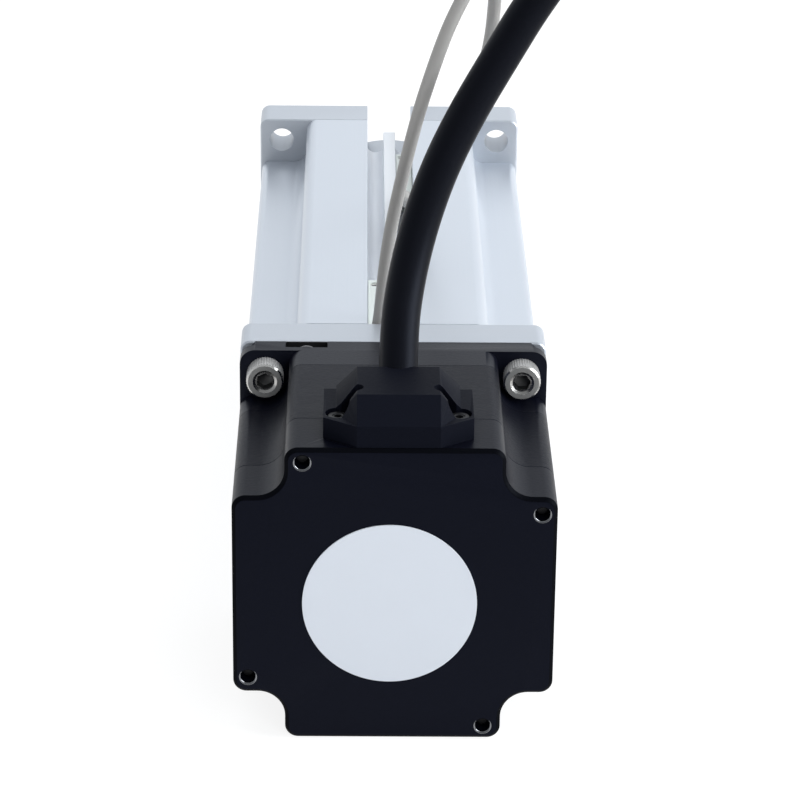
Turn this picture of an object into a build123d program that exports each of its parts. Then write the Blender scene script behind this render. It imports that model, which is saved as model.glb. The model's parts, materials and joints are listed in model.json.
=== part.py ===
from build123d import *

import math
import os

# Electric cylinder: a 60 mm square motor in line with a ball screw and a rod.
# The origin is the centre of the front mounting face, on the rod's axis.
# +Y points along the rod, away from the motor, +Z is up, and all sizes are in millimetres.

# Frame
frame_size = 60.0          # square of the motor and of both end plates
stroke = 50.0              # travel of the rod
seat_gap = 0.02            # radial gap where two parts are seated without turning
run_gap = 0.05             # radial gap where one part runs in another
thread_gap = 0.05          # radial gap round a thread that is modelled plain
hole_spare = 1.0           # depth of a blind hole past its screw's end

# Lengths along the axis
front_plate_length = 10.5
flange_plate_length = 9.5
bell_length = 11.5
stack_length = 25.5
cap_length = 14.0

# End plates
plate_corner_r = 2.0
plate_edge = 0.3
mount_inset = 5.0          # corner holes and motor screws, from each side
mount_hole_r = 2.75
plate_screw_reach = 16.5   # screws between plates and body, from the axis both ways
notch_floor_r = 21.5       # arched floor of the front plate's top notch, about the axis

# M4 socket head screws of the plates and of the motor
m4_r = 2.0
m4_head_r = 3.55
m4_head_height = 4.0
m4_socket = 3.0
m4_socket_depth = 2.0
m4_clear_r = 2.25
m4_counterbore_r = 3.9
m4_counterbore_depth = 4.5
m4_grip = 9.0              # depth of the screws in the body
motor_screw_grip = 7.0     # depth of the motor's screws in the flange plate

# Extruded body
bore_r = 17.0
ear_inset = 0.4            # body's sides inside the plates' sides
ear_wall = 3.2             # ears above the plate screws' middle
ridge_wall = 2.65          # ridges outside the plate screws' middle
ridge_corner_r = 2.6
ear_corner_r = 1.8
body_inner_r = 3.0
slot_half_width = 5.05
rib_half_width = 1.35
rib_drop = 2.95            # rib between the sensor grooves, below the body's top
sensor_groove_r = 2.0
sensor_groove_drop = 5.9
key_groove_width = 4.0
key_groove_depth = 1.8

# Motor
motor_notch = 9.7          # square notch in each corner
motor_wing_r = 2.5
motor_notch_r = 5.2
motor_edge = 0.7
bell_flange_length = 4.6
bell_corner_r = 3.0
bell_step_length = 1.9     # front part of the flange, with its corners cut off
bell_step_cut = 3.0
pilot_r = 18.0
pilot_height = 2.0
end_turn_gap = 0.2         # room for the winding ends past the yoke
bearing_boss_r = 13.5
cap_wall = 3.0
bell_wall = 2.2
shaft_r = 4.0
shaft_hole_r = 6.0
air_gap = 0.08
pole_count = 8
pole_width = 6.0
pole_shoe_depth = 2.2
pole_shoe_width = 9.6
coil_thickness = 2.0
coil_overhang = 3.2
coil_gap = 0.3
yoke_wall = 5.2            # yoke from the motor's sides
winding_depth = 8.9        # between rotor and yoke
magnet_length = 4.0
magnet_recess = 1.0
shaft_chamfer = 0.4

# M2.5 screws that hold the motor together, from the bell's front into the rear cap
tie_r = 1.25
tie_hole_r = 1.35
tie_head_r = 2.25
tie_head_height = 2.5
tie_socket = 2.0
tie_socket_depth = 1.2
tie_notch_inset = 3.3      # one screw from the corner notch and from the nearest side
tie_side_inset = 2.8
tie_pocket_width = 8.2     # open pocket round each head, in the bell's front
tie_pocket_spare = 0.15    # below the head
tie_head_sink = 0.4        # head below the bell's front
tie_lip = 0.45             # rounded mouth of each threaded hole in the cap
tie_end_drop = 2.5         # screw's end below the cap's rear face

# Round label on the rear face
label_r = 16.25
label_thickness = 0.3
label_x = -0.8
label_z = -1.4

# Bearings: inner and outer ring, with a shield closing the gap
motor_bearing_r = 11.0
motor_bearing_width = 7.0
screw_bearing_r = 11.0
screw_bearing_width = 6.0
bearing_ring_wall = 2.0
shield_thickness = 0.5
shield_inset = 0.3
shield_gap = 0.08
spring_washer_thickness = 0.6

# Shaft coupling
coupling_r = 11.0
hub_length = 6.0
jaw_length = 5.0
jaw_count = 3
jaw_inner_r = 4.8
spider_hole_r = 3.0
spider_inset = 0.3
spider_leg_width = 3.0
spider_gap = 0.05
coupling_start = 3.5       # from the flange plate's rear face
coupling_clearance = 1.0   # up to the lock nut

# Bearing housing of the screw
housing_lip_r = 20.0
housing_lip_length = 3.0
chamber_r = 13.0
shoulder_length = 2.0
shoulder_r = 9.5
retainer_length = 3.5
retainer_r = 12.5
retainer_hole_r = 8.6
retainer_slot_width = 3.0
retainer_slot_depth = 1.2

# Screw, nut, carrier and rod
journal_r = 5.0
lock_nut_r = 8.5
lock_nut_length = 5.0
lock_nut_slot_width = 3.0
lock_nut_slot_depth = 1.2
screw_r = 6.0
screw_end_gap = 4.0        # screw's front end behind the body's front end
nut_r = 12.0
nut_length = 22.0
nose_r = 9.0
nose_length = 8.0
carrier_length = 31.0
carrier_gap = 0.2
carrier_back = 6.0         # carrier's rear ring behind the nut
carrier_lip = 2.0          # and its step inwards
magnet_ring_start = 4.0
magnet_ring_length = 4.0
wear_ring_start = 17.0
wear_ring_length = 6.0
ring_depth = 2.2
key_length = 12.0
key_start = 10.0
key_seat_depth = 2.0
key_room_depth = 4.0       # gap for the key in the wear ring
rod_r = 11.0
rod_bore_r = 7.0
rod_tip_length = 12.0
rod_tip_flats = 19.0
rod_tip_spigot_length = 10.0
rod_tip_collar = 2.0       # round part before and after the flats
rod_thread_r = 4.25
rod_thread_depth = 16.0
end_chamfer = 0.8

# Front bush, wiper and end stops
bush_wall = 2.5
spigot_length = 6.0
wiper_r = 15.0
wiper_length = 5.0
wiper_lip = 1.3            # lips on both sides of its front groove
wiper_groove_depth = 1.0
bumper_length = 2.0
bumper_r = 15.5
bumper_hole_r = 12.5
rest_gap = 0.5             # between carrier and end stop with the rod in
end_gap = 1.0              # and with the rod out

# Connector cover on the motor
cover_x = 0.6
cover_start = 0.7          # from the motor's rear face
cover_wing_height = 4.2
cover_height = 8.1
cover_top_half = 7.65
cover_wing_half = 13.85
cover_slope_length = 5.8
cover_corner_length = 4.1
cover_wing_end = 18.2
cover_end = 19.6
cover_cavity_half = 6.0
cover_cavity_start = 3.0
cover_cavity_end = 13.5
cover_roof = 1.8
cover_wall = 2.0
cover_screw_x = 11.2
cover_screw_y = 7.0
cover_screw_r = 1.0
cover_screw_head_r = 1.9
cover_screw_head_height = 1.3
cover_screw_grip = 4.0
cover_screw_socket = 1.3
cover_screw_socket_depth = 0.8
cover_counterbore_r = 2.25
cover_counterbore_floor = 2.4
channel_width = 2.5
channel_end_x = 7.7
channel_end_y = 10.0
cable_hole_r = 3.6
cable_angle = 55.0         # rise of the cable where it leaves the cover
cable_seat_y = 18.9        # start of the cable, from the motor's rear face
cable_seat_z = 2.2         # and above the motor's top
terminal_width = 8.0
terminal_length = 6.0
terminal_height = 3.6
terminal_y = 9.0
wire_hole_width = 6.0
wire_hole_length = 4.0

# Sensors in the body's top slot
sensor_length = 28.0
sensor_r = 1.93
sensor_neck_half = 1.75
sensor_drop = 4.0          # sensor's top below the body's top
sensor_rear_setback = 33.7     # front end of the rear sensor, from the body's rear end
sensor_front_setback = 12.5    # front end of the front sensor, from the body's front end
sensor_screw_inset = 2.2
sensor_screw_r = 1.25
sensor_screw_length = 2.4
sensor_screw_sink = 0.3
sensor_screw_slot = 0.5
sensor_exit_angle = 36.0   # rise of each lead where it leaves its sensor

# Cords: the points of each route, chosen by hand. x and z are from the axis,
# y is from the place where the cord leaves.
cable_r = 3.4
lead_r = 1.3
cable_first_run = 12.0
cable_points = [
    (2.0, 13.6, 50.5), (4.6, 18.8, 60.0), (8.4, 22.3, 70.2), (13.6, 25.3, 80.2), (19.4, 27.9, 89.7),
    (26.0, 30.1, 100.6), (34.4, 31.8, 111.7), (46.3, 34.0, 119.7), (60.0, 37.2, 123.2),
    (73.6, 41.9, 121.7), (85.4, 47.6, 115.1), (93.7, 53.9, 104.5), (97.5, 60.1, 91.0),
    (98.1, 65.6, 74.5), (97.9, 70.7, 57.4), (97.8, 75.1, 40.9), (97.6, 78.8, 25.6), (97.4, 79.3, 10.7),
    (97.2, 74.9, -3.0), (97.0, 66.2, -14.4), (96.7, 54.1, -22.3), (96.4, 40.1, -25.9),
    (96.2, 21.6, -25.6),
]
lead_rear_first_run = 4.2
lead_rear_points = [
    (-2.6, -5.0, 31.0), (-2.2, -5.5, 36.4), (-1.6, -6.2, 43.0), (-0.5, -7.8, 51.5), (1.5, -11.4, 63.0),
    (4.1, -16.4, 76.5), (7.0, -20.8, 88.0), (9.9, -24.8, 98.0), (14.2, -27.3, 107.5),
    (21.0, -29.2, 116.5), (31.0, -30.5, 124.0), (43.5, -31.1, 128.5), (57.0, -30.9, 129.5),
    (70.0, -29.9, 126.5), (81.5, -28.1, 119.5), (91.0, -25.8, 109.0), (98.0, -23.1, 95.5),
    (102.2, -19.8, 80.0), (104.2, -15.4, 63.5), (104.9, -9.1, 47.0), (105.1, -0.6, 31.0),
    (105.2, 9.9, 15.5), (105.2, 22.9, 1.5), (105.2, 37.9, -10.5), (105.3, 54.9, -19.5),
    (105.4, 72.9, -25.3), (105.5, 91.4, -28.0), (105.6, 110.4, -28.6), (105.6, 128.4, -28.6),
]
lead_front_first_run = 7.0
lead_front_points = [
    (3.2, -13.9, 29.5), (3.9, -22.4, 31.8), (5.9, -30.9, 36.5), (8.3, -38.9, 43.0), (10.7, -45.4, 50.5),
    (13.2, -51.4, 58.5), (15.6, -57.4, 67.0), (17.6, -63.9, 75.5), (18.8, -70.9, 84.5),
    (19.0, -78.9, 93.8), (19.1, -84.9, 102.5), (21.5, -88.6, 111.5), (27.5, -89.6, 120.0),
    (36.5, -88.4, 126.5), (48.0, -85.6, 130.0), (60.0, -81.0, 129.0), (70.5, -75.0, 123.5),
    (79.0, -68.0, 114.0), (85.0, -60.4, 101.5), (88.6, -53.0, 87.0), (90.7, -46.1, 71.5),
    (91.8, -40.4, 55.0), (92.3, -36.4, 38.0), (92.4, -35.0, 20.5), (92.2, -37.0, 4.0),
    (91.5, -43.0, -10.0), (90.4, -53.0, -21.0), (89.0, -66.0, -27.2), (87.4, -81.4, -28.6),
    (85.6, -98.4, -28.6), (84.4, -115.4, -28.6), (84.0, -132.4, -28.6),
]
plug_length = 22.0
plug_width = 15.0
plug_height = 8.8
plug_neck_length = 5.0
plug_neck_wall = 0.8
plug_corner_r = 1.2
plug_latch_width = 6.0
plug_latch_height = 1.4
plug_latch_length = 14.0
plug_wall = 1.2
plug_cavity_depth = 9.0

# Places along the axis, from the front face backwards
half = frame_size / 2
mount_reach = half - mount_inset
motor_inner_half = half - motor_notch
ear_half_width = half - ear_inset
ear_half_height = plate_screw_reach + ear_wall
ridge_half_width = plate_screw_reach + ridge_wall
rib_top = half - rib_drop
sensor_groove_height = half - sensor_groove_drop
sensor_top = half - sensor_drop
yoke_r = half - yoke_wall
rotor_r = yoke_r - winding_depth
end_turn_r = yoke_r + end_turn_gap
tie_near = motor_inner_half - tie_notch_inset
tie_far = half - tie_side_inset
coupling_length = 2 * hub_length + jaw_length
coupling_reach = coupling_start + coupling_length - flange_plate_length
bearings_length = 2 * screw_bearing_width
housing_length = coupling_reach + coupling_clearance + lock_nut_length + bearings_length + retainer_length
end_stops = 2 * bumper_length + rest_gap + end_gap
body_length = housing_length + end_stops + carrier_length + stroke + spigot_length
body_front = -front_plate_length
body_rear = body_front - body_length
motor_front = body_rear - flange_plate_length
bell_flange_rear = motor_front - bell_flange_length
bell_rear = motor_front - bell_length
stack_rear = bell_rear - stack_length
motor_rear = stack_rear - cap_length
bearing_end = body_rear + housing_length - retainer_length
bearing_start = bearing_end - bearings_length
housing_front = body_rear + housing_length
carrier_rear = housing_front + bumper_length + rest_gap
carrier_front = carrier_rear + carrier_length
spigot_rear = body_front - spigot_length
nut_rear = carrier_rear + carrier_back
nut_front = nut_rear + nut_length
screw_front = body_front - screw_end_gap
coupling_rear = motor_front + coupling_start
shaft_front = coupling_rear + hub_length
screw_rear = shaft_front + jaw_length
rod_tip_rear = 0.0         # level with the front face while the rod is in
sensor_ends = {
    "sensor_rear": (-1, body_rear + sensor_rear_setback),
    "sensor_front": (1, body_front - sensor_front_setback),
}


def station(y):
    """Sketch plane across the axis at y, with its own x to the right and its y up."""
    return Plane(origin=(0, y, 0), x_dir=(1, 0, 0), z_dir=(0, -1, 0))


def prism(sketch, start, end):
    """Solid of a cross-section between two places on the axis."""
    return extrude(station(end) * sketch, amount=end - start)


def rod(radius, start, end, x=0.0, z=0.0):
    return prism(Pos(x, z) * Circle(radius), start, end)


def tube(outer, inner, start, end):
    return prism(Circle(outer) - Circle(inner), start, end)


def block(x0, x1, y0, y1, z0, z1):
    size = (x1 - x0, y1 - y0, z1 - z0)
    return Pos((x0 + x1) / 2, (y0 + y1) / 2, (z0 + z1) / 2) * Box(*size)


def corners(reach):
    """The four places of a square pattern about the axis."""
    return [(x, z) for x in (-reach, reach) for z in (-reach, reach)]


def rounded_square(radius):
    return RectangleRounded(frame_size, frame_size, radius)


def stepped_square(wide, inner, outer, outer_r, inner_r):
    """Square with a square notch in each corner: half-width, half-height at the notch, half-height."""
    cross = Rectangle(2 * wide, 2 * inner[1]) + Rectangle(2 * inner[0], 2 * outer)
    hollow = [v for v in cross.vertices() if abs(abs(v.X) - inner[0]) + abs(abs(v.Y) - inner[1]) < 1e-6]
    cross = fillet(hollow, inner_r)
    tops = [v for v in cross.vertices() if abs(abs(v.Y) - outer) < 1e-6]
    cross = fillet(tops, outer_r[1])
    sides = [v for v in cross.vertices() if abs(abs(v.X) - wide) < 1e-6]
    return fillet(sides, outer_r[0])


def motor_section():
    inner = (motor_inner_half, motor_inner_half)
    return stepped_square(half, inner, half, (motor_wing_r, motor_wing_r), motor_notch_r)


def tie_places():
    """Pinwheel pattern of the motor's long screws."""
    return [(-tie_near, tie_far), (tie_far, tie_near), (tie_near, -tie_far), (-tie_far, -tie_near)]


def cap_screw(x, z, head_rear, length, size):
    """Socket head screw along +Y: its head's rear face is at head_rear."""
    radius, head_r, head_height, socket, socket_depth = size
    head = rod(head_r, head_rear, head_rear + head_height, x, z)
    rim = head.edges().group_by(Axis.Y)[0]
    head = chamfer(rim, 0.1 * head_r)
    shank = rod(radius, head_rear + head_height, head_rear + head_height + length, x, z)
    hexagon = Pos(x, z) * RegularPolygon(socket / 2, 6, major_radius=False)
    return head + shank - prism(hexagon, head_rear, head_rear + socket_depth)


def turned(shape):
    """The same shape facing the other way along the axis."""
    return Rot(0, 0, 180) * shape


def bearing(outer_r, inner_r, start, width):
    """Outer ring with its shields, and inner ring, of one bearing."""
    end = start + width
    inner = tube(inner_r + bearing_ring_wall, inner_r, start, end)
    outer = tube(outer_r, outer_r - bearing_ring_wall, start, end)
    for place in (start + shield_inset, end - shield_inset - shield_thickness):
        gap_r = inner_r + bearing_ring_wall + shield_gap
        outer = outer + tube(outer_r - bearing_ring_wall, gap_r, place, place + shield_thickness)
    return outer, inner


M4 = (m4_r, m4_head_r, m4_head_height, m4_socket, m4_socket_depth)
TIE = (tie_r, tie_head_r, tie_head_height, tie_socket, tie_socket_depth)
COVER_SCREW = (
    cover_screw_r, cover_screw_head_r, cover_screw_head_height, cover_screw_socket, cover_screw_socket_depth,
)


# Motor

def rear_cap():
    shell = prism(motor_section(), motor_rear, stack_rear)
    shell = chamfer(shell.faces().sort_by(Axis.Y)[0].outer_wire().edges(), motor_edge)
    wall = motor_rear + cap_wall
    shell -= tube(end_turn_r, bearing_boss_r, wall, stack_rear)
    boss_end = wall + spring_washer_thickness + motor_bearing_width
    shell -= rod(motor_bearing_r + seat_gap, wall, stack_rear)
    shell -= rod(bearing_boss_r, boss_end, stack_rear)
    for x, z in tie_places():
        shell -= rod(tie_r + thread_gap, motor_rear, stack_rear, x, z)
    mouths = shell.faces().sort_by(Axis.Y)[0].inner_wires()
    shell = fillet([mouth.edges()[0] for mouth in mouths], tie_lip)
    for side in (-1, 1):
        place = Pos(cover_x + side * cover_screw_x, motor_rear + cover_screw_y, half)
        shell -= place * Cylinder(cover_screw_r + run_gap, 2 * cover_screw_grip)
    wires = Pos(cover_x, motor_rear + terminal_y, half)
    return shell - wires * Box(wire_hole_width, wire_hole_length, 2 * (half - bearing_boss_r) - cap_wall)


def tie_screws():
    """Long screws along -Y, with their heads in the bell's pockets."""
    head_front = motor_front - tie_head_sink
    length = head_front - tie_head_height - motor_rear - tie_end_drop
    return [turned(cap_screw(-x, z, -head_front, length, TIE)) for x, z in tie_places()]


def stator_stack():
    stack = prism(motor_section() - Circle(yoke_r), stack_rear, bell_rear)
    for x, z in tie_places():
        stack -= rod(tie_hole_r, stack_rear, bell_rear, x, z)
    stator_r = rotor_r + air_gap
    shoe_r = stator_r + pole_shoe_depth
    pole = Pos(0, (shoe_r + yoke_r) / 2) * Rectangle(pole_width, yoke_r - shoe_r + 1.0)
    shoe = (Circle(shoe_r) - Circle(stator_r)) & (Pos(0, shoe_r) * Rectangle(pole_shoe_width, 2 * shoe_r))
    tooth = (pole + shoe) & Circle(yoke_r + 0.1)
    for index in range(pole_count):
        stack += prism(Rot(0, 0, 360 / pole_count * (index + 0.5)) * tooth, stack_rear, bell_rear)
    return stack


def stator_windings():
    """One coil round each pole, as a plain ring of its wound size."""
    low = rotor_r + air_gap + pole_shoe_depth + coil_gap
    high = yoke_r * math.cos(math.asin((pole_width / 2 + coil_thickness) / yoke_r)) - coil_gap
    width = pole_width + 2 * coil_thickness
    coils = []
    for index in range(pole_count):
        outer = block(
            -width / 2, width / 2, stack_rear - coil_overhang, bell_rear + coil_overhang, low, high)
        hole = block(-pole_width / 2 - seat_gap, pole_width / 2 + seat_gap,
                     stack_rear - coil_gap, bell_rear + coil_gap, low - 1, high + 1)
        coils.append(Rot(0, 360 / pole_count * (index + 0.5), 0) * (outer - hole))
    return coils


def front_bell():
    bell = prism(motor_section(), bell_rear, bell_flange_rear)
    bell += prism(rounded_square(bell_corner_r), bell_flange_rear, motor_front - bell_step_length)
    cut_square = chamfer(Rectangle(2 * half, 2 * half).vertices(), bell_step_cut)
    bell += prism(cut_square, motor_front - bell_step_length, motor_front)
    bell += rod(pilot_r, motor_front, motor_front + pilot_height)
    bearing_front = motor_front - bell_wall
    bearing_rear = bearing_front - motor_bearing_width
    bell -= tube(end_turn_r, bearing_boss_r, bell_rear, bell_rear + coil_overhang + 2 * coil_gap)
    bell -= rod(motor_bearing_r + seat_gap, bearing_rear, bearing_front)
    bell -= rod(bearing_boss_r, bell_rear, bearing_rear)
    bell -= rod(shaft_hole_r, bearing_front, motor_front + pilot_height)
    for x, z in corners(mount_reach):
        bell -= rod(m4_clear_r, bell_flange_rear, motor_front, x, z)
    for x, z in tie_places():
        bell -= rod(tie_hole_r, bell_rear, motor_front, x, z)
    left = -tie_near - tie_pocket_width / 2
    pocket_rear = motor_front - tie_head_sink - tie_head_height
    pocket_floor = tie_far - tie_head_r - tie_pocket_spare
    pocket = block(left, left + tie_pocket_width, pocket_rear, motor_front, pocket_floor, half)
    for quarter in range(4):
        bell -= Rot(0, 90 * quarter, 0) * pocket
    return bell


def rotor_cores():
    """The two steel halves of the rotor, at each side of its magnet."""
    bore = shaft_r + seat_gap
    middle = (stack_rear + bell_rear) / 2
    rear_core = tube(rotor_r, bore, stack_rear, middle - magnet_length / 2)
    front_core = tube(rotor_r, bore, middle + magnet_length / 2, bell_rear)
    return [rear_core, front_core]


def rotor_magnet():
    middle = (stack_rear + bell_rear) / 2
    start = middle - magnet_length / 2
    return tube(rotor_r - magnet_recess, shaft_r + seat_gap, start, start + magnet_length)


def motor_shaft():
    shaft = rod(shaft_r, motor_rear + cap_wall + run_gap, shaft_front)
    return chamfer(shaft.edges().group_by(Axis.Y)[-1], shaft_chamfer)


def connector_cover():
    """Moulded cover with a hipped top, two screw wings and a driver channel to each screw."""
    rear = motor_rear + cover_start
    slope_end = rear + cover_slope_length
    wing_end = motor_rear + cover_wing_end
    end = motor_rear + cover_end
    rise = cover_height - cover_wing_height
    foot_half = cover_top_half + rise
    outline = Polyline(
        (-cover_top_half, rear), (cover_top_half, rear), (cover_wing_half, rear + cover_corner_length),
        (cover_wing_half, wing_end), (foot_half, wing_end), (foot_half, end), (-foot_half, end),
        (-foot_half, wing_end), (-cover_wing_half, wing_end), (-cover_wing_half, rear + cover_corner_length),
        close=True,
    )
    wings = extrude(make_face(outline), amount=cover_wing_height)
    across = Polyline(
        (-foot_half, cover_wing_height), (foot_half, cover_wing_height), (cover_top_half, cover_height),
        (-cover_top_half, cover_height), close=True,
    )
    hip = extrude(station(end) * make_face(across), amount=end - rear)
    along = Polyline(
        (rear, cover_wing_height), (end, cover_wing_height), (end, cover_height),
        (slope_end, cover_height), close=True,
    )
    side_plane = Plane(origin=(-foot_half, 0, 0), x_dir=(0, 1, 0), z_dir=(1, 0, 0))
    hip = hip & extrude(side_plane * make_face(along), amount=2 * foot_half)
    for side in (-1, 1):
        low = Vector(side * cover_top_half, rear, cover_wing_height)
        high = Vector(side * cover_top_half, slope_end, cover_height)
        out = Vector(side * foot_half, slope_end, cover_wing_height)
        normal = (high - low).cross(out - low)
        if normal.X * side < 0:
            normal = normal * -1
        facet = Plane(origin=low, x_dir=high - low, z_dir=normal)
        hip -= facet * Pos(0, 0, cover_end) * Box(4 * cover_end, 4 * cover_end, 2 * cover_end)
    cover = wings + hip
    cover -= block(-cover_cavity_half, cover_cavity_half, motor_rear + cover_cavity_start,
                   motor_rear + cover_cavity_end, -1, cover_height - cover_roof) & hip_clearance(rear)
    for side in (-1, 1):
        x = side * cover_screw_x
        y = motor_rear + cover_screw_y
        middle = cover_counterbore_floor + cover_height / 2
        bore = Pos(x, y, middle) * Cylinder(cover_counterbore_r, cover_height)
        shank = Pos(x, y, 0) * Cylinder(cover_screw_r + run_gap, 2 * cover_height)
        ends = Polyline((x, y), (side * channel_end_x, motor_rear + channel_end_y))
        channel = extrude(slot_along(ends, channel_width), amount=cover_height)
        cover -= bore
        cover -= shank
        cover -= Pos(0, 0, cover_counterbore_floor) * channel
    cover = Pos(cover_x, 0, half) * cover
    cover -= cable_bore()
    return cover


def hip_clearance(rear):
    """Room under the sloped rear wall, so that the wall keeps its thickness."""
    slope = cover_height - cover_wing_height
    inside = rear + cover_wall
    profile = Polyline(
        (inside, -cover_height), (rear + 2 * cover_end, -cover_height), (rear + 2 * cover_end, cover_height),
        (inside + cover_slope_length, cover_height), (inside, cover_height - slope), close=True,
    )
    side_plane = Plane(origin=(-cover_wing_half, 0, 0), x_dir=(0, 1, 0), z_dir=(1, 0, 0))
    return Pos(0, 0, -cover_roof) * extrude(side_plane * make_face(profile), amount=2 * cover_wing_half)


def slot_along(line, width):
    """Round-ended slot along a line."""
    start = line @ 0
    end = line @ 1
    middle = (start + end) / 2
    return SlotCenterPoint((middle.X, middle.Y), (end.X, end.Y), width)


def cable_axis():
    """Where the cable starts in the cover, and the way it leaves."""
    start = Vector(cover_x, motor_rear + cable_seat_y, half + cable_seat_z)
    rise = math.radians(cable_angle)
    return start, Vector(0, math.cos(rise), math.sin(rise))


def cable_bore():
    start, direction = cable_axis()
    plane = Plane(origin=start, x_dir=(1, 0, 0), z_dir=direction)
    return extrude(plane * Circle(cable_hole_r), amount=2 * cover_height)


def cover_screws():
    """Two small screws that stand on the counterbore floors and point down."""
    screws = []
    for side in (-1, 1):
        length = cover_counterbore_floor + cover_screw_grip - hole_spare
        screw = cap_screw(0, 0, 0, length, COVER_SCREW)
        standing = Rot(-90, 0, 0) * screw
        top = half + cover_counterbore_floor + cover_screw_head_height
        place = Pos(cover_x + side * cover_screw_x, motor_rear + cover_screw_y, top)
        screws.append(place * standing)
    return screws


def terminal_block():
    middle = Pos(cover_x, motor_rear + terminal_y, half + terminal_height / 2)
    return middle * Box(terminal_width, terminal_length, terminal_height)


# Cylinder

def rear_flange_plate():
    plate = prism(rounded_square(plate_corner_r), motor_front, body_rear)
    for face in (plate.faces().sort_by(Axis.Y)[0], plate.faces().sort_by(Axis.Y)[-1]):
        rim = plate.edges().filter_by_position(Axis.Y, face.center().Y, face.center().Y)
        plate = chamfer(rim, plate_edge)
    plate -= rod(pilot_r + run_gap, motor_front, motor_front + pilot_height + run_gap)
    plate -= rod(chamber_r, motor_front, body_rear)
    plate -= rod(housing_lip_r + run_gap, body_rear - housing_lip_length, body_rear)
    for x, z in corners(mount_reach):
        plate -= rod(m4_r + thread_gap, motor_front, motor_front + motor_screw_grip + hole_spare, x, z)
    for x, z in corners(plate_screw_reach):
        plate -= rod(m4_clear_r, motor_front, body_rear, x, z)
        plate -= rod(m4_counterbore_r, motor_front, motor_front + m4_counterbore_depth, x, z)
    return plate


def flange_plate_screws():
    head_rear = motor_front + m4_counterbore_depth - m4_head_height
    length = flange_plate_length - m4_counterbore_depth + m4_grip
    return [cap_screw(x, z, head_rear, length, M4) for x, z in corners(plate_screw_reach)]


def motor_mount_screws():
    head_rear = bell_flange_rear - m4_head_height
    length = bell_flange_length + motor_screw_grip
    return [cap_screw(x, z, head_rear, length, M4) for x, z in corners(mount_reach)]


def body_section():
    inner = (ridge_half_width, ear_half_height)
    section = stepped_square(ear_half_width, inner, half, (ear_corner_r, ridge_corner_r), body_inner_r)
    slot_height = half - rib_top
    section -= Pos(0, half - slot_height / 2) * Rectangle(2 * slot_half_width, slot_height)
    groove_x = (slot_half_width + rib_half_width) / 2
    mouth = slot_half_width - rib_half_width
    for side in (-1, 1):
        section -= Pos(side * groove_x, sensor_groove_height) * Circle(sensor_groove_r)
        depth = half - sensor_groove_height
        section -= Pos(side * groove_x, sensor_groove_height + depth / 2) * Rectangle(mouth, depth)
    section -= Circle(bore_r)
    reach = bore_r + key_groove_depth
    section -= Pos(0, -reach / 2) * Rectangle(key_groove_width, reach)
    for x, z in corners(plate_screw_reach):
        section -= Pos(x, z) * Circle(m4_r + thread_gap)
    return section


def body_extrusion():
    return prism(body_section(), body_rear, body_front)


def bearing_housing():
    housing = rod(bore_r - seat_gap, body_rear, housing_front)
    housing += rod(housing_lip_r, body_rear - housing_lip_length, body_rear)
    housing -= rod(chamber_r, body_rear - housing_lip_length, bearing_start - shoulder_length)
    housing -= rod(shoulder_r, bearing_start - shoulder_length, bearing_start)
    housing -= rod(screw_bearing_r + seat_gap, bearing_start, bearing_end)
    return housing - rod(retainer_r + seat_gap, bearing_end, housing_front)


def bearing_retainer():
    ring = tube(retainer_r, retainer_hole_r, bearing_end, housing_front)
    reach = retainer_slot_width / 2
    for turn in (0, 90):
        start = housing_front - retainer_slot_depth
        slot = block(-retainer_r, retainer_r, start, housing_front, -reach, reach)
        ring -= Rot(0, turn, 0) * slot
    return ring


def lock_nut():
    nut = tube(lock_nut_r, journal_r + seat_gap, bearing_start - lock_nut_length, bearing_start)
    for turn in (0, 90):
        slot = block(-lock_nut_r, lock_nut_r, bearing_start - lock_nut_length,
                     bearing_start - lock_nut_length / 2, -lock_nut_slot_width / 2, lock_nut_slot_width / 2)
        keep = rod(lock_nut_r - lock_nut_slot_depth, bearing_start - lock_nut_length, bearing_start)
        nut -= Rot(0, turn, 0) * slot - keep
    return nut


def jaw_section():
    """Cross-section of one jaw, with room for the spider's legs at its sides."""
    sector = 360 / jaw_count
    lean = math.radians(sector / 4)
    far = 2 * coupling_r
    wedge = make_face(Polyline(
        (0, 0), (far * math.sin(lean), far * math.cos(lean)), (0, far),
        (-far * math.sin(lean), far * math.cos(lean)), close=True,
    ))
    leg = Rectangle(spider_leg_width + 2 * spider_gap, 2 * far)
    legs = Rot(0, 0, sector / 4) * leg
    for index in range(1, jaw_count):
        legs += Rot(0, 0, sector / 4 + sector / 2 * index) * leg
    return ((Circle(coupling_r) - Circle(jaw_inner_r)) & wedge) - legs


def coupling_hub(start, jaws_start, turn):
    """Hub and its jaws, which reach over the spider."""
    hub = tube(coupling_r, shaft_r + seat_gap, start, start + hub_length)
    jaw = jaw_section()
    for index in range(jaw_count):
        place = Rot(0, 0, 360 / jaw_count * index + turn)
        hub += prism(place * jaw, jaws_start, jaws_start + jaw_length - spider_gap)
    return hub


def coupling_motor_hub():
    return coupling_hub(coupling_rear, shaft_front, 0)


def coupling_screw_hub():
    return coupling_hub(screw_rear, screw_rear - jaw_length + spider_gap, 180 / jaw_count)


def coupling_spider():
    """Elastic star with a leg between each pair of jaws."""
    star = Circle(jaw_inner_r - spider_gap)
    leg = Rectangle(spider_leg_width, 2 * (coupling_r - spider_inset))
    for index in range(jaw_count):
        star += Rot(0, 0, 180 / jaw_count * (index + 0.5)) * leg
    star -= Circle(spider_hole_r)
    start = shaft_front + spider_gap
    return prism(star, start, start + jaw_length - 2 * spider_gap)


def ball_screw():
    screw = rod(shaft_r, screw_rear, bearing_start - lock_nut_length)
    screw += rod(journal_r, bearing_start - lock_nut_length, bearing_end)
    screw += rod(screw_r, bearing_end, screw_front)
    return chamfer(screw.edges().group_by(Axis.Y)[-1], end_chamfer)


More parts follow.
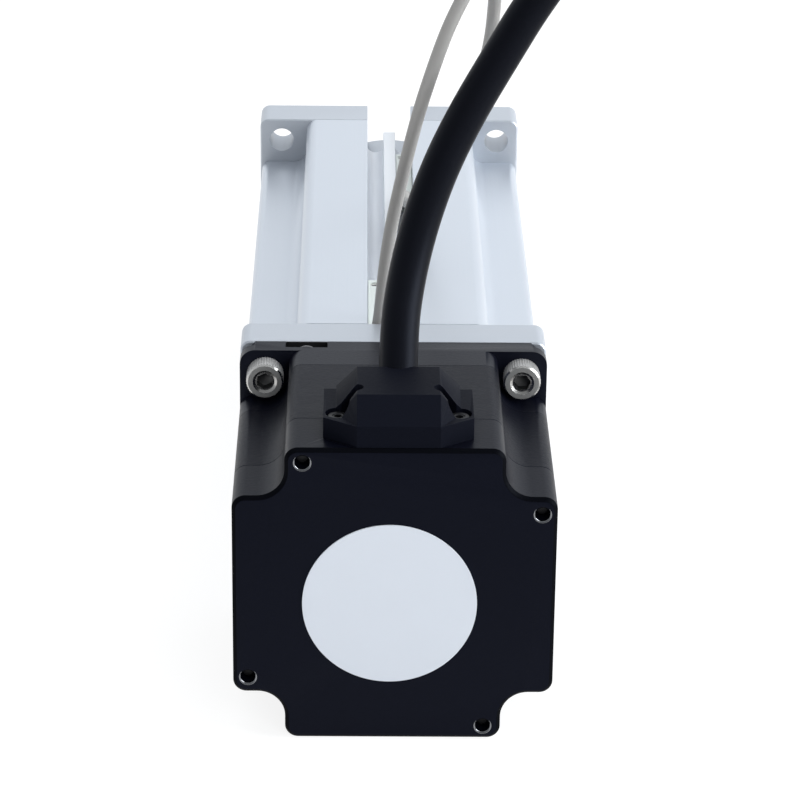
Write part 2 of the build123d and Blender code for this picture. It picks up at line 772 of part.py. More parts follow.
def ball_nut():
    nut = rod(nut_r, nut_rear, nut_front)
    nut += rod(nose_r, nut_front, nut_front + nose_length)
    return nut - rod(screw_r + run_gap, nut_rear, nut_front + nose_length)


def nut_carrier():
    outer = bore_r - carrier_gap
    carrier = rod(outer, carrier_rear, carrier_front)
    carrier -= rod(nut_r + seat_gap, nut_rear, nut_front)
    carrier -= rod(rod_r + seat_gap, nut_front, carrier_front)
    carrier -= rod(nut_r - carrier_lip, carrier_rear, nut_rear)
    for start, length in ((magnet_ring_start, magnet_ring_length), (wear_ring_start, wear_ring_length)):
        carrier -= tube(outer + 1, outer - ring_depth, carrier_rear + start, carrier_rear + start + length)
    seat = key_groove_width / 2 - run_gap
    carrier -= block(-seat, seat, carrier_rear + key_start - seat_gap,
                     carrier_rear + key_start + key_length + seat_gap, -outer - 1, -outer + key_seat_depth)
    return carrier


def carrier_ring(start, length, clearance):
    outer = bore_r - clearance
    inner = bore_r - carrier_gap - ring_depth + seat_gap
    return tube(outer, inner, carrier_rear + start + seat_gap, carrier_rear + start + length - seat_gap)


def magnet_ring():
    return carrier_ring(magnet_ring_start, magnet_ring_length, carrier_gap)


def wear_ring():
    ring = carrier_ring(wear_ring_start, wear_ring_length, run_gap)
    return ring - key_room()


def key_room():
    """Room for the guide key through the wear ring."""
    seat = key_groove_width / 2
    return block(-seat, seat, carrier_rear, carrier_front, -bore_r - 1, -bore_r + key_room_depth)


def guide_key():
    """Key that runs in the body's groove and keeps the nut from turning."""
    seat = key_groove_width / 2 - run_gap
    low = -bore_r - key_groove_depth + 2 * run_gap
    top = -(bore_r - carrier_gap) + key_seat_depth
    return block(-seat, seat, carrier_rear + key_start, carrier_rear + key_start + key_length, low, top)


def piston_rod():
    tube_rod = tube(rod_r, rod_bore_r, nut_front, rod_tip_rear)
    return tube_rod - rod(nose_r + seat_gap, nut_front, nut_front + nose_length)


def rod_tip():
    """Closing piece of the rod with a threaded hole and two flats for a spanner."""
    tip = rod(rod_r, rod_tip_rear, rod_tip_length)
    tip = chamfer(tip.edges().group_by(Axis.Y)[-1], end_chamfer)
    for side in (-1, 1):
        low, high = sorted((side * rod_tip_flats / 2, side * rod_r))
        start = rod_tip_rear + rod_tip_collar
        tip -= block(low, high, start, rod_tip_length - rod_tip_collar, -rod_r, rod_r)
    tip += rod(rod_bore_r - seat_gap, rod_tip_rear - rod_tip_spigot_length, rod_tip_rear)
    tip -= rod(rod_thread_r, rod_tip_length - rod_thread_depth, rod_tip_length)
    return tip


def front_plate():
    plate = prism(rounded_square(plate_corner_r), body_front, 0)
    for place in (body_front, 0):
        plate = chamfer(plate.edges().filter_by_position(Axis.Y, place, place), plate_edge)
    spigot = rod(bore_r - seat_gap, spigot_rear, body_front)
    plate += spigot
    bush_r = rod_r + run_gap + bush_wall
    plate -= rod(bush_r + seat_gap, spigot_rear, -wiper_length)
    plate -= rod(wiper_r + seat_gap, -wiper_length, 0)
    notch = Pos(0, half) * Rectangle(2 * slot_half_width, 2 * (half - notch_floor_r) + 4)
    plate -= prism(notch - Circle(notch_floor_r), body_front, 0)
    for x, z in corners(mount_reach):
        plate -= rod(mount_hole_r, body_front, 0, x, z)
    for x, z in corners(plate_screw_reach):
        plate -= rod(m4_clear_r, body_front, 0, x, z)
        plate -= rod(m4_counterbore_r, -m4_counterbore_depth, 0, x, z)
    return plate


def front_plate_screws():
    length = front_plate_length - m4_counterbore_depth + m4_grip
    head_rear = -m4_counterbore_depth
    screws = []
    for x, z in corners(plate_screw_reach):
        screws.append(turned(cap_screw(-x, z, -(head_rear + m4_head_height), length, M4)))
    return screws


def rod_bush():
    outer = rod_r + run_gap + bush_wall
    return tube(outer, rod_r + run_gap, spigot_rear, -wiper_length)


def rod_wiper():
    ring = tube(wiper_r, rod_r + run_gap, -wiper_length, 0)
    return ring - tube(wiper_r - wiper_lip, rod_r + wiper_lip, -wiper_groove_depth, 0)


def bumper(start):
    return tube(bumper_r, bumper_hole_r, start, start + bumper_length)


# Sensors

def sensor_place(name):
    side, front = sensor_ends[name]
    return side * (slot_half_width + rib_half_width) / 2, front


def sensor_body(name):
    """Round body with a flat-topped neck and a rear face cut square to its lead."""
    x, front = sensor_place(name)
    rear = front - sensor_length
    round_part = Pos(x, sensor_groove_height) * Circle(sensor_r)
    neck_height = sensor_top - sensor_groove_height
    neck = Pos(x, sensor_groove_height + neck_height / 2) * Rectangle(2 * sensor_neck_half, neck_height)
    body = prism(round_part + neck, rear, front)
    middle, direction = lead_start(name)
    face = Plane(origin=middle, x_dir=(1, 0, 0), z_dir=direction)
    body -= face * Pos(0, 0, sensor_length / 2) * Box(sensor_length, sensor_length, sensor_length)
    hole_depth = sensor_screw_sink + sensor_screw_length
    place = Pos(x, front - sensor_screw_inset, sensor_top)
    return body - place * Cylinder(sensor_screw_r + seat_gap, 2 * hole_depth)


def sensor_screw(name):
    x, front = sensor_place(name)
    top = sensor_top - sensor_screw_sink
    place = Pos(x, front - sensor_screw_inset, top)
    screw = place * Pos(0, 0, -sensor_screw_length / 2) * Cylinder(sensor_screw_r, sensor_screw_length)
    return screw - place * Rot(0, 0, 20) * Box(4 * sensor_screw_r, sensor_screw_slot, sensor_screw_length)


def lead_start(name):
    """Centre of the slanted face that the lead leaves, and the way it points."""
    x, front = sensor_place(name)
    rise = math.radians(sensor_exit_angle)
    half_drop = (sensor_top - sensor_groove_height + sensor_r) / 2
    middle = Vector(x, front - sensor_length + half_drop * math.tan(rise), sensor_top - half_drop)
    return middle, Vector(0, -math.cos(rise), math.sin(rise))


# Cords

def cord_route(points):
    """Corner radii of a route: 0.45 of the shorter run over the tangent of half the turn."""
    places = [Vector(*point) for point in points]
    radii = []
    for before, here, after in zip(places, places[1:], places[2:]):
        turn = math.radians((here - before).get_angle(after - here))
        shorter = min((here - before).length, (after - here).length)
        radii.append(0.45 * shorter / math.tan(turn / 2))
    return places, radii


def cord(points, radius, label):
    places, radii = cord_route(points)
    path = FilletPolyline(*places, radius=radii)
    first = (places[1] - places[0]).normalized()
    section = Plane(origin=places[0], z_dir=first) * Circle(radius)
    solid = sweep(section, path=path)
    expected = math.pi * radius ** 2 * path.length
    print(label, "length", round(path.length, 1), "volume ratio", round(solid.volume / expected, 5))
    print("  radii", [round(value, 1) for value in radii])
    return solid


def route_from(start, direction, first_run, points):
    """Route that leaves straight along a direction before its chosen points."""
    first = start + direction * first_run
    rest = [(x, start.Y + y, z) for x, y, z in points]
    return [(start.X, start.Y, start.Z), (first.X, first.Y, first.Z), *rest]


def motor_plug(route):
    """Plug on the motor cable's end, with a latch on its top and open at its mating face."""
    end = Vector(*route[-1])
    direction = (end - Vector(*route[-2])).normalized()
    plane = Plane(origin=end, x_dir=(1, 0, 0), z_dir=direction)
    neck = extrude(plane * Circle(cable_r + plug_neck_wall), amount=plug_neck_length)
    rear = plane.offset(plug_neck_length)
    shell = extrude(rear * RectangleRounded(plug_width, plug_height, plug_corner_r), amount=plug_length)
    latch_section = Pos(0, plug_height / 2) * Rectangle(plug_latch_width, 2 * plug_latch_height)
    latch = extrude(rear * latch_section, amount=plug_latch_length)
    mouth = rear.offset(plug_length - plug_cavity_depth)
    cavity = RectangleRounded(plug_width - 2 * plug_wall, plug_height - 2 * plug_wall, plug_corner_r / 2)
    return neck + shell + latch - extrude(mouth * cavity, amount=plug_cavity_depth)


def write(name, shape):
    if isinstance(shape, list):
        shape = Compound(children=[item if isinstance(item, Solid) else item.solid() for item in shape])
    export_step(shape, f"parts/{name}.step")


def main():
    os.makedirs("parts", exist_ok=True)
    washer_start = motor_rear + cap_wall
    rear_bearing_start = washer_start + spring_washer_thickness
    front_bearing_start = motor_front - bell_wall - motor_bearing_width
    rear_outer, rear_inner = bearing(
        motor_bearing_r, shaft_r + seat_gap, rear_bearing_start, motor_bearing_width)
    front_outer, front_inner = bearing(
        motor_bearing_r, shaft_r + seat_gap, front_bearing_start, motor_bearing_width)
    pair = [bearing(screw_bearing_r, journal_r + seat_gap, bearing_start + index * screw_bearing_width,
                    screw_bearing_width) for index in range(2)]
    cable_route = route_from(*cable_axis(), cable_first_run, cable_points)
    rear_lead_route = route_from(*lead_start("sensor_rear"), lead_rear_first_run, lead_rear_points)
    front_lead_route = route_from(*lead_start("sensor_front"), lead_front_first_run, lead_front_points)
    nodes = {
        "label_disc": rod(label_r, motor_rear - label_thickness, motor_rear, label_x, label_z),
        "motor_rear_cap": rear_cap(),
        "motor_tie_screws": tie_screws(),
        "spring_washer": tube(motor_bearing_r - 0.5, motor_bearing_r - 2.5, washer_start,
                              washer_start + spring_washer_thickness),
        "motor_rear_bearing_outer": rear_outer,
        "motor_rear_bearing_inner": rear_inner,
        "stator_stack": stator_stack(),
        "stator_windings": stator_windings(),
        "rotor_cores": rotor_cores(),
        "rotor_magnet": rotor_magnet(),
        "motor_shaft": motor_shaft(),
        "motor_front_bearing_outer": front_outer,
        "motor_front_bearing_inner": front_inner,
        "front_bell": front_bell(),
        "motor_mount_screws": motor_mount_screws(),
        "connector_cover": connector_cover(),
        "cover_screws": cover_screws(),
        "terminal_block": terminal_block(),
        "motor_cable": cord(cable_route, cable_r, "motor_cable"),
        "motor_plug": motor_plug(cable_route),
        "rear_flange_plate": rear_flange_plate(),
        "flange_plate_screws": flange_plate_screws(),
        "body_extrusion": body_extrusion(),
        "bearing_housing": bearing_housing(),
        "screw_bearing_outer": [outer for outer, inner in pair],
        "screw_bearing_inner": [inner for outer, inner in pair],
        "bearing_retainer": bearing_retainer(),
        "lock_nut": lock_nut(),
        "coupling_motor_hub": coupling_motor_hub(),
        "coupling_spider": coupling_spider(),
        "coupling_screw_hub": coupling_screw_hub(),
        "ball_screw": ball_screw(),
        "ball_nut": ball_nut(),
        "nut_carrier": nut_carrier(),
        "magnet_ring": magnet_ring(),
        "wear_ring": wear_ring(),
        "guide_key": guide_key(),
        "piston_rod": piston_rod(),
        "rod_tip": rod_tip(),
        "rod_bush": rod_bush(),
        "rod_wiper": rod_wiper(),
        "rear_bumper": bumper(housing_front),
        "front_bumper": bumper(spigot_rear - bumper_length),
        "front_plate": front_plate(),
        "front_plate_screws": front_plate_screws(),
        "sensor_clamp_screws": [sensor_screw(name) for name in sensor_ends],
        "sensor_rear_lead": cord(rear_lead_route, lead_r, "sensor_rear_lead"),
        "sensor_front_lead": cord(front_lead_route, lead_r, "sensor_front_lead"),
    }
    for name in sensor_ends:
        nodes[name] = sensor_body(name)
    for name, shape in nodes.items():
        write(name, shape)


main()
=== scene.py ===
import json
import math

import bmesh
import bpy
from bpy.props import FloatProperty, FloatVectorProperty, IntProperty, PointerProperty
from mathutils import Matrix, Vector


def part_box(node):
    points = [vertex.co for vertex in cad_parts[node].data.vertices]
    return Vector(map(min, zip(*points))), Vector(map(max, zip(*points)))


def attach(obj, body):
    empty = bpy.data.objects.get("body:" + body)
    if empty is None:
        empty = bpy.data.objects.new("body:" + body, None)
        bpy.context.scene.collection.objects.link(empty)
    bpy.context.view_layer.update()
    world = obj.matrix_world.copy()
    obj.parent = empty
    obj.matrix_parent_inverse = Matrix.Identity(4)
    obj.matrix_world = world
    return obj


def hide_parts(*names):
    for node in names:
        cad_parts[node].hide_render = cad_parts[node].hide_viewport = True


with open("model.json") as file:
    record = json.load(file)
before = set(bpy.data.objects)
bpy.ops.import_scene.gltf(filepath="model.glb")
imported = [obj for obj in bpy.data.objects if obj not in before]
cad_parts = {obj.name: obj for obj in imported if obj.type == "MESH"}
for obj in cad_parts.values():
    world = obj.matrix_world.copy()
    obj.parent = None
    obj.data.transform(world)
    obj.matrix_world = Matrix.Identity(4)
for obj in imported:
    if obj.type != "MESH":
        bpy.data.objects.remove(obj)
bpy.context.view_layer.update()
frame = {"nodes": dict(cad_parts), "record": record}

bl_info = {
    "name": "Electric cylinder dressing",
    "version": (1, 0, 0),
    "blender": (4, 5, 0),
    "location": "3D View > Sidebar > Cylinder",
    "description": "Finishes, screws, sensors, cords and stage of a 60 mm electric cylinder",
    "category": "Object",
}

MM = 0.001
TIE_NEAR = 0.017               # motor's long screws, from the axis the short way
TIE_POCKET = 0.0082            # width of the pockets round their heads
PLAIN_HEAD_RADIUS = 0.00355    # of the CAD's M4 heads
SHARP_ANGLE = math.radians(32)     # an edge sharper than this is eased or stays hard
# Turns that make a screw's or pin's upright axis face each way
TURNS = {"-y": (math.pi / 2, 0, 0), "+y": (-math.pi / 2, 0, 0), "+z": (0, 0, 0)}

# Light, floor and the camera that was fitted to the photograph, in metres and radians
COOL_LIGHT = (0.93, 0.965, 1.0)
FLOOR_Z = -0.030
FLOOR_REACH = 4.0
PHOTO_WIDTH = 800          # pixels
FOCAL_PIXELS = 3335.887
SENSOR_WIDTH = 36.0        # millimetres
CAMERA_PLACE = (-0.0069247, -0.748721, 0.281300)
CAMERA_TURN = (0.0138096, 0.411771, 0.0116041)    # to the right, downwards, and its right side raised

# A core at a lead's bare end and its tinned tip: aside, along and up from the end, in millimetres
CORE_RUN = ((0.45, -1.0, 0.0), (0.45, 1.2, -0.1), (0.6, 3.4, -0.7), (0.75, 6.0, -0.95))
TIP_RUN = ((0.73, 5.6, -0.93), (0.78, 7.0, -1.0), (0.8, 8.5, -1.05))

# Where the cords run, in millimetres from the front face's centre: the points that the solids follow.
CABLE_ROUTE = [
    (0.6, -177.1, 32.2), (0.6, -170.2, 42.0), (2.0, -163.5, 50.5), (4.6, -158.3, 60.0),
    (8.4, -154.8, 70.2), (13.6, -151.8, 80.2), (19.4, -149.2, 89.7), (26.0, -147.0, 100.6),
    (34.4, -145.3, 111.7), (46.3, -143.1, 119.7), (60.0, -139.9, 123.2), (73.6, -135.2, 121.7),
    (85.4, -129.5, 115.1), (93.7, -123.2, 104.5), (97.5, -117.0, 91.0), (98.1, -111.5, 74.5),
    (97.9, -106.4, 57.4), (97.8, -102.0, 40.9), (97.6, -98.3, 25.6), (97.4, -97.8, 10.7),
    (97.2, -102.2, -3.0), (97.0, -110.9, -14.4), (96.7, -123.0, -22.3), (96.4, -137.0, -25.9),
    (96.2, -155.5, -25.6),
]
LEAD_REAR_ROUTE = [
    (-3.2, -128.4, 24.1), (-3.2, -131.8, 26.6), (-2.6, -133.4, 31.0), (-2.2, -133.9, 36.4),
    (-1.6, -134.6, 43.0), (-0.5, -136.2, 51.5), (1.5, -139.8, 63.0), (4.1, -144.8, 76.5),
    (7.0, -149.2, 88.0), (9.9, -153.2, 98.0), (14.2, -155.7, 107.5), (21.0, -157.6, 116.5),
    (31.0, -158.9, 124.0), (43.5, -159.5, 128.5), (57.0, -159.3, 129.5), (70.0, -158.3, 126.5),
    (81.5, -156.5, 119.5), (91.0, -154.2, 109.0), (98.0, -151.5, 95.5), (102.2, -148.2, 80.0),
    (104.2, -143.8, 63.5), (104.9, -137.5, 47.0), (105.1, -129.0, 31.0), (105.2, -118.5, 15.5),
    (105.2, -105.5, 1.5), (105.2, -90.5, -10.5), (105.3, -73.5, -19.5), (105.4, -55.5, -25.3),
    (105.5, -37.0, -28.0), (105.6, -18.0, -28.6), (105.6, 0.0, -28.6),
]
LEAD_FRONT_ROUTE = [
    (3.2, -49.6, 24.1), (3.2, -55.3, 28.2), (3.2, -63.5, 29.5), (3.9, -72.0, 31.8), (5.9, -80.5, 36.5),
    (8.3, -88.5, 43.0), (10.7, -95.0, 50.5), (13.2, -101.0, 58.5), (15.6, -107.0, 67.0),
    (17.6, -113.5, 75.5), (18.8, -120.5, 84.5), (19.0, -128.5, 93.8), (19.1, -134.5, 102.5),
    (21.5, -138.2, 111.5), (27.5, -139.2, 120.0), (36.5, -138.0, 126.5), (48.0, -135.2, 130.0),
    (60.0, -130.6, 129.0), (70.5, -124.6, 123.5), (79.0, -117.6, 114.0), (85.0, -110.0, 101.5),
    (88.6, -102.6, 87.0), (90.7, -95.7, 71.5), (91.8, -90.0, 55.0), (92.3, -86.0, 38.0),
    (92.4, -84.6, 20.5), (92.2, -86.6, 4.0), (91.5, -92.6, -10.0), (90.4, -102.6, -21.0),
    (89.0, -115.6, -27.2), (87.4, -131.0, -28.6), (85.6, -148.0, -28.6), (84.4, -165.0, -28.6),
    (84.0, -182.0, -28.6),
]


# Sizes and colours

def colour_setting(name, description, default):
    """A colour that the user may change."""
    return FloatVectorProperty(
        name=name, description=description, subtype="COLOR", size=3, min=0, max=1, default=default)


def size_setting(name, description, default):
    """A size in metres that the user may change."""
    return FloatProperty(name=name, description=description, subtype="DISTANCE", default=default)


def power_setting(name, description, default):
    """The power of a lamp in watts."""
    return FloatProperty(name=name, description=description, unit="POWER", default=default)


class CylinderFinishes(bpy.types.PropertyGroup):
    """Colours of the cylinder's surfaces, and the width of its eased edges."""
    silver: colour_setting("Anodised silver", "Colour of the extrusion and both plates", (0.69, 0.73, 0.79))
    black_paint: colour_setting(
        "Motor black", "Colour of the motor's painted castings", (0.0030, 0.0034, 0.0074))
    cover_black: colour_setting(
        "Cover black", "Colour of the moulded connector cover", (0.004, 0.0046, 0.0085))
    label: colour_setting("Label", "Colour of the bare round label", (0.70, 0.73, 0.78))
    lead_jacket: colour_setting("Lead jacket", "Colour of the sensor leads", (0.40, 0.385, 0.365))
    sensor_body: colour_setting("Sensor body", "Colour of the slot sensors", (0.75, 0.79, 0.75))
    edge_width: FloatProperty(
        name="Edge", description="Width of the eased edges on machined and moulded pieces",
        subtype="DISTANCE", min=0.00002, max=0.001, default=0.00025)


class CylinderScrews(bpy.types.PropertyGroup):
    """Sizes of the socket head screws."""
    head_radius: size_setting("Head radius", "Radius of an M4 head", 0.00365)
    head_height: size_setting("Head height", "Height of an M4 head", 0.004)
    socket: size_setting("Socket", "M4 hexagon across its flats", 0.003)
    tie_head_radius: size_setting("Tie head radius", "Radius of an M2.5 head", 0.00225)
    tie_head_height: size_setting("Tie head height", "Height of an M2.5 head", 0.0025)
    cover_head_radius: size_setting("Cover head radius", "Radius of a cover screw's head", 0.0019)
    cover_head_height: size_setting("Cover head height", "Height of a cover screw's head", 0.0013)
    knurl_ridges: IntProperty(
        name="Knurl ridges", description="Ridges round a head", min=12, max=96, default=44)
    knurl_depth: FloatProperty(
        name="Knurl depth", description="Depth of the ridges, as a share of the radius",
        min=0, max=0.1, default=0.03)


class CylinderCords(bpy.types.PropertyGroup):
    """Sizes of the motor cable and the sensor leads."""
    cable_diameter: size_setting("Cable", "Diameter of the motor cable", 0.0073)
    lead_diameter: size_setting("Lead", "Diameter of a sensor lead", 0.0026)
    cable_length: size_setting("Cable length", "Length of the motor cable", 0.34)
    rear_lead_length: size_setting("Rear lead length", "Length of the rear sensor's lead", 0.42)
    front_lead_length: size_setting("Front lead length", "Length of the front sensor's lead", 0.43)
    core_diameter: size_setting("Core", "Diameter of a core at a lead's bare end", 0.0008)


class CylinderStage(bpy.types.PropertyGroup):
    """Light and floor."""
    overhead_power: power_setting("Overhead light", "Power of the large lamp above", 5.0)
    right_power: power_setting("Right light", "Power of the lamp on the right", 11.5)
    front_power: power_setting("Front light", "Power of the fill lamp near the camera", 7.0)
    room_level: FloatProperty(
        name="Room level", description="Strength of the even light all round", min=0, max=2, default=0.45)


# Nodes, for materials and geometry alike

def feed(tree, value, socket):
    """A number, or another socket, into a socket."""
    if isinstance(value, bpy.types.NodeSocket):
        tree.links.new(value, socket)
    else:
        socket.default_value = value


def add_node(tree, kind, inputs=(), **settings):
    """New node with its settings, and with what feeds each of its inputs, given by name or number."""
    node = tree.nodes.new(kind)
    for name, value in settings.items():
        setattr(node, name, value)
    for key, value in dict(inputs).items():
        feed(tree, value, node.inputs[key])
    return node


def output_of(tree, kind, inputs=(), output=0, **settings):
    """One output of a new node."""
    return add_node(tree, kind, inputs, **settings).outputs[output]


def figure(tree, operation, *values):
    """Result of one sum on numbers or sockets."""
    return output_of(tree, "ShaderNodeMath", enumerate(values), operation=operation)


def new_group(name, kind, inputs, outputs):
    """Group of nodes with its sockets: inputs as name, kind and default value, outputs as name and kind."""
    group = bpy.data.node_groups.new(name, kind)
    for label, socket_kind, value in inputs:
        socket = group.interface.new_socket(label, in_out="INPUT", socket_type=f"NodeSocket{socket_kind}")
        if value is not None:
            socket.default_value = value
    for label, socket_kind in outputs:
        group.interface.new_socket(label, in_out="OUTPUT", socket_type=f"NodeSocket{socket_kind}")
    return group, group.nodes.new("NodeGroupInput").outputs, group.nodes.new("NodeGroupOutput").inputs


def bare_tree(owner, output):
    """Emptied node tree of a material or world, and the input that takes its surface."""
    owner.use_nodes = True
    tree = owner.node_tree
    tree.nodes.clear()
    return tree, tree.nodes.new(output).inputs["Surface"]


# Shader groups

def sized_noise(group, vector, size, detail, roughness):
    """Noise whose patches have about the given size."""
    return output_of(group, "ShaderNodeTexNoise", {
        "Vector": vector, "Scale": figure(group, "DIVIDE", 1.0, size), "Detail": detail,
        "Roughness": roughness}, "Fac")


def swung(group, noise, amount, middle):
    """Noise turned into a value that swings by an amount about its middle."""
    return figure(group, "MULTIPLY_ADD", figure(group, "SUBTRACT", noise, 0.5), amount, middle)


def mottled_tone():
    """Colour that drifts a little over the surface."""
    group, given, result = new_group("mottled_tone", "ShaderNodeTree", [
        ("Vector", "Vector", None), ("Tone", "Color", (0.5, 0.5, 0.5, 1)),
        ("Patch size", "Float", 0.02), ("Amount", "Float", 0.05)], [("Color", "Color")])
    noise = sized_noise(group, given["Vector"], given["Patch size"], 3.0, 0.55)
    swing = swung(group, noise, given["Amount"], 1.0)
    tone = output_of(group, "ShaderNodeVectorMath", {0: given["Tone"], "Scale": swing}, operation="SCALE")
    feed(group, tone, result["Color"])


def fine_grain():
    """Small even grain, as on blasted, painted and moulded surfaces."""
    group, given, result = new_group("fine_grain", "ShaderNodeTree", [
        ("Vector", "Vector", None), ("Grain size", "Float", 0.0005),
        ("Base roughness", "Float", 0.5), ("Spread", "Float", 0.1)],
        [("Height", "Float"), ("Roughness", "Float")])
    noise = sized_noise(group, given["Vector"], given["Grain size"], 2.0, 0.6)
    feed(group, noise, result["Height"])
    feed(group, swung(group, noise, given["Spread"], given["Base roughness"]), result["Roughness"])


def drawn_lines():
    """Faint lines along one direction: the drawing of an extrusion, or turning marks."""
    group, given, result = new_group("drawn_lines", "ShaderNodeTree", [
        ("Vector", "Vector", None), ("Line width", "Float", 0.0006), ("Line length", "Float", 0.2)],
        [("Height", "Float")])
    across = figure(group, "DIVIDE", 1.0, given["Line width"])
    along = figure(group, "DIVIDE", 1.0, given["Line length"])
    stretch = output_of(group, "ShaderNodeCombineXYZ", {"X": across, "Y": along, "Z": across})
    place = output_of(group, "ShaderNodeVectorMath", {0: given["Vector"], 1: stretch}, operation="MULTIPLY")
    noise = output_of(group, "ShaderNodeTexNoise", {
        "Vector": place, "Scale": 1.0, "Detail": 2.0, "Roughness": 0.5}, "Fac")
    feed(group, noise, result["Height"])


def stacked_sheets():
    """Even ridges of thin sheets stacked along the motor's axis."""
    group, given, result = new_group("stacked_sheets", "ShaderNodeTree", [
        ("Vector", "Vector", None), ("Sheet", "Float", 0.0005)], [("Height", "Float")])
    along = output_of(group, "ShaderNodeSeparateXYZ", {0: given["Vector"]}, "Y")
    ridge = figure(group, "PINGPONG", figure(group, "DIVIDE", along, given["Sheet"]), 0.5)
    feed(group, ridge, result["Height"])


# Materials

def from_group(tree, name, inputs):
    """Outputs of a shader group that is placed in a material."""
    return add_node(tree, "ShaderNodeGroup", inputs, node_tree=bpy.data.node_groups[name]).outputs


def finish(name, tone, metallic, roughness, grain, mottle, lines=None,
           coat=0.0, specular=0.5, tint=(1, 1, 1)):
    """Material of one surface.

    grain: size, spread of roughness, bump strength. mottle: patch size, amount.
    lines: shader group, bump strength, then the group's own sizes. tint: colour of the gloss.
    """
    tree, surface = bare_tree(bpy.data.materials.new(name), "ShaderNodeOutputMaterial")
    place = output_of(tree, "ShaderNodeTexCoord", output="Object")
    colour = from_group(tree, "mottled_tone", {
        "Vector": place, "Tone": (*tone, 1), "Patch size": mottle[0], "Amount": mottle[1]})
    texture = from_group(tree, "fine_grain", {
        "Vector": place, "Grain size": grain[0], "Base roughness": roughness, "Spread": grain[1]})
    normal = output_of(tree, "ShaderNodeBump", {
        "Height": texture["Height"], "Strength": grain[2], "Distance": 0.5 * grain[0]}, "Normal")
    if lines:
        kind, strength, *sizes = lines
        marks = from_group(tree, kind, enumerate((place, *sizes)))
        normal = output_of(tree, "ShaderNodeBump", {
            "Height": marks["Height"], "Strength": strength, "Distance": 0.3 * sizes[0],
            "Normal": normal}, "Normal")
    shader = output_of(tree, "ShaderNodeBsdfPrincipled", {
        "Base Color": colour["Color"], "Roughness": texture["Roughness"], "Normal": normal,
        "Metallic": metallic, "Coat Weight": coat, "Coat Roughness": 0.25,
        "Specular IOR Level": specular, "Specular Tint": (*tint, 1)})
    feed(tree, shader, surface)


# Grain and mottle, and lines where there are any, that more than one finish shares
DRAWN = ((0.0006, 0.08, 0.04), (0.05, 0.03), ("drawn_lines", 0.10, 0.0005, 0.25))
PAINTED = ((0.0006, 0.10, 0.08), (0.03, 0.25))
RUBBED = ((0.0003, 0.1, 0.05), (0.002, 0.2))
MACHINED = ((0.0003, 0.08, 0.04), (0.003, 0.06))
INSULATED = ((0.0005, 0.1, 0.05), (0.004, 0.1))

# Finishes whose colour is fixed: colour, metallic, roughness, grain, mottle and lines
FIXED_FINISHES = {
    # Lighter, less metallic copy of the extrusion's silver for the slot: painted light against the groove's
    # shade
    "groove_silver": ((0.82, 0.84, 0.87), 0.30, 0.5, *DRAWN),
    "turned_aluminium": ((0.66, 0.66, 0.68), 1.0, 0.32, (0.0004, 0.1, 0.05), (0.02, 0.04),
                         ("drawn_lines", 0.1, 0.0003, 0.01)),
    # Lighter rim on the motor's tie screw heads: wear, and also a painted highlight on the far edge
    "worn_rim": ((0.38, 0.38, 0.39), 0.3, 0.4, *RUBBED),
    # Duller, diffuse grey for the ring on a steel head's rear face: painted light in place of the steel's own
    # reflections
    "worn_face": ((0.33, 0.325, 0.315), 0.45, 0.35, *RUBBED),
    "socket_shade": ((0.10, 0.10, 0.10), 0.8, 0.35, *RUBBED),
    # Bright metal on the upward faces of the holes' mouths: a painted highlight
    "thread_mouth": ((0.28, 0.285, 0.30), 1.0, 0.16, (0.0003, 0.06, 0.03), (0.002, 0.1)),
    "knurled_steel": ((0.55, 0.54, 0.53), 0.45, 0.42, *MACHINED),
    "stainless": ((0.62, 0.61, 0.59), 1.0, 0.27, *MACHINED),
    "black_oxide": ((0.012, 0.012, 0.014), 0.5, 0.36, (0.0003, 0.2, 0.1), (0.002, 0.3)),
    "ground_steel": ((0.56, 0.56, 0.57), 1.0, 0.24, (0.0003, 0.12, 0.06), (0.01, 0.06),
                     ("drawn_lines", 0.06, 0.0003, 0.0006)),
    "chromed_rod": ((0.66, 0.66, 0.67), 1.0, 0.12, (0.0004, 0.06, 0.02), (0.02, 0.03)),
    "bare_sheets": ((0.20, 0.20, 0.21), 0.8, 0.45, (0.0005, 0.1, 0.08), (0.01, 0.15),
                    ("stacked_sheets", 0.4, 0.0005)),
    "sintered_magnet": ((0.18, 0.18, 0.19), 0.6, 0.5, (0.0005, 0.1, 0.15), (0.006, 0.2)),
    "enamelled_wire": ((0.50, 0.17, 0.05), 0.8, 0.35, (0.0006, 0.2, 0.3), (0.003, 0.2),
                       ("drawn_lines", 0.5, 0.0005, 0.05)),
    "red_elastomer": ((0.42, 0.03, 0.02), 0.0, 0.55, (0.0005, 0.1, 0.1), (0.01, 0.1)),
    "black_elastomer": ((0.018, 0.018, 0.018), 0.0, 0.62, (0.0005, 0.12, 0.15), (0.01, 0.2)),
    "bush_polymer": ((0.07, 0.07, 0.075), 0.0, 0.5, (0.0005, 0.1, 0.1), (0.01, 0.15)),
    "plug_nylon": ((0.70, 0.68, 0.62), 0.0, 0.42, (0.0007, 0.08, 0.05), (0.01, 0.05)),
    "tinned_wire": ((0.72, 0.71, 0.70), 1.0, 0.3, (0.0003, 0.15, 0.2), (0.002, 0.1)),
    "core_brown": ((0.13, 0.045, 0.02), 0.0, 0.45, *INSULATED),
    "core_blue": ((0.02, 0.09, 0.33), 0.0, 0.45, *INSULATED),
    "contact_tin": ((0.70, 0.68, 0.62), 1.0, 0.28, (0.0003, 0.12, 0.08), (0.002, 0.08)),
}

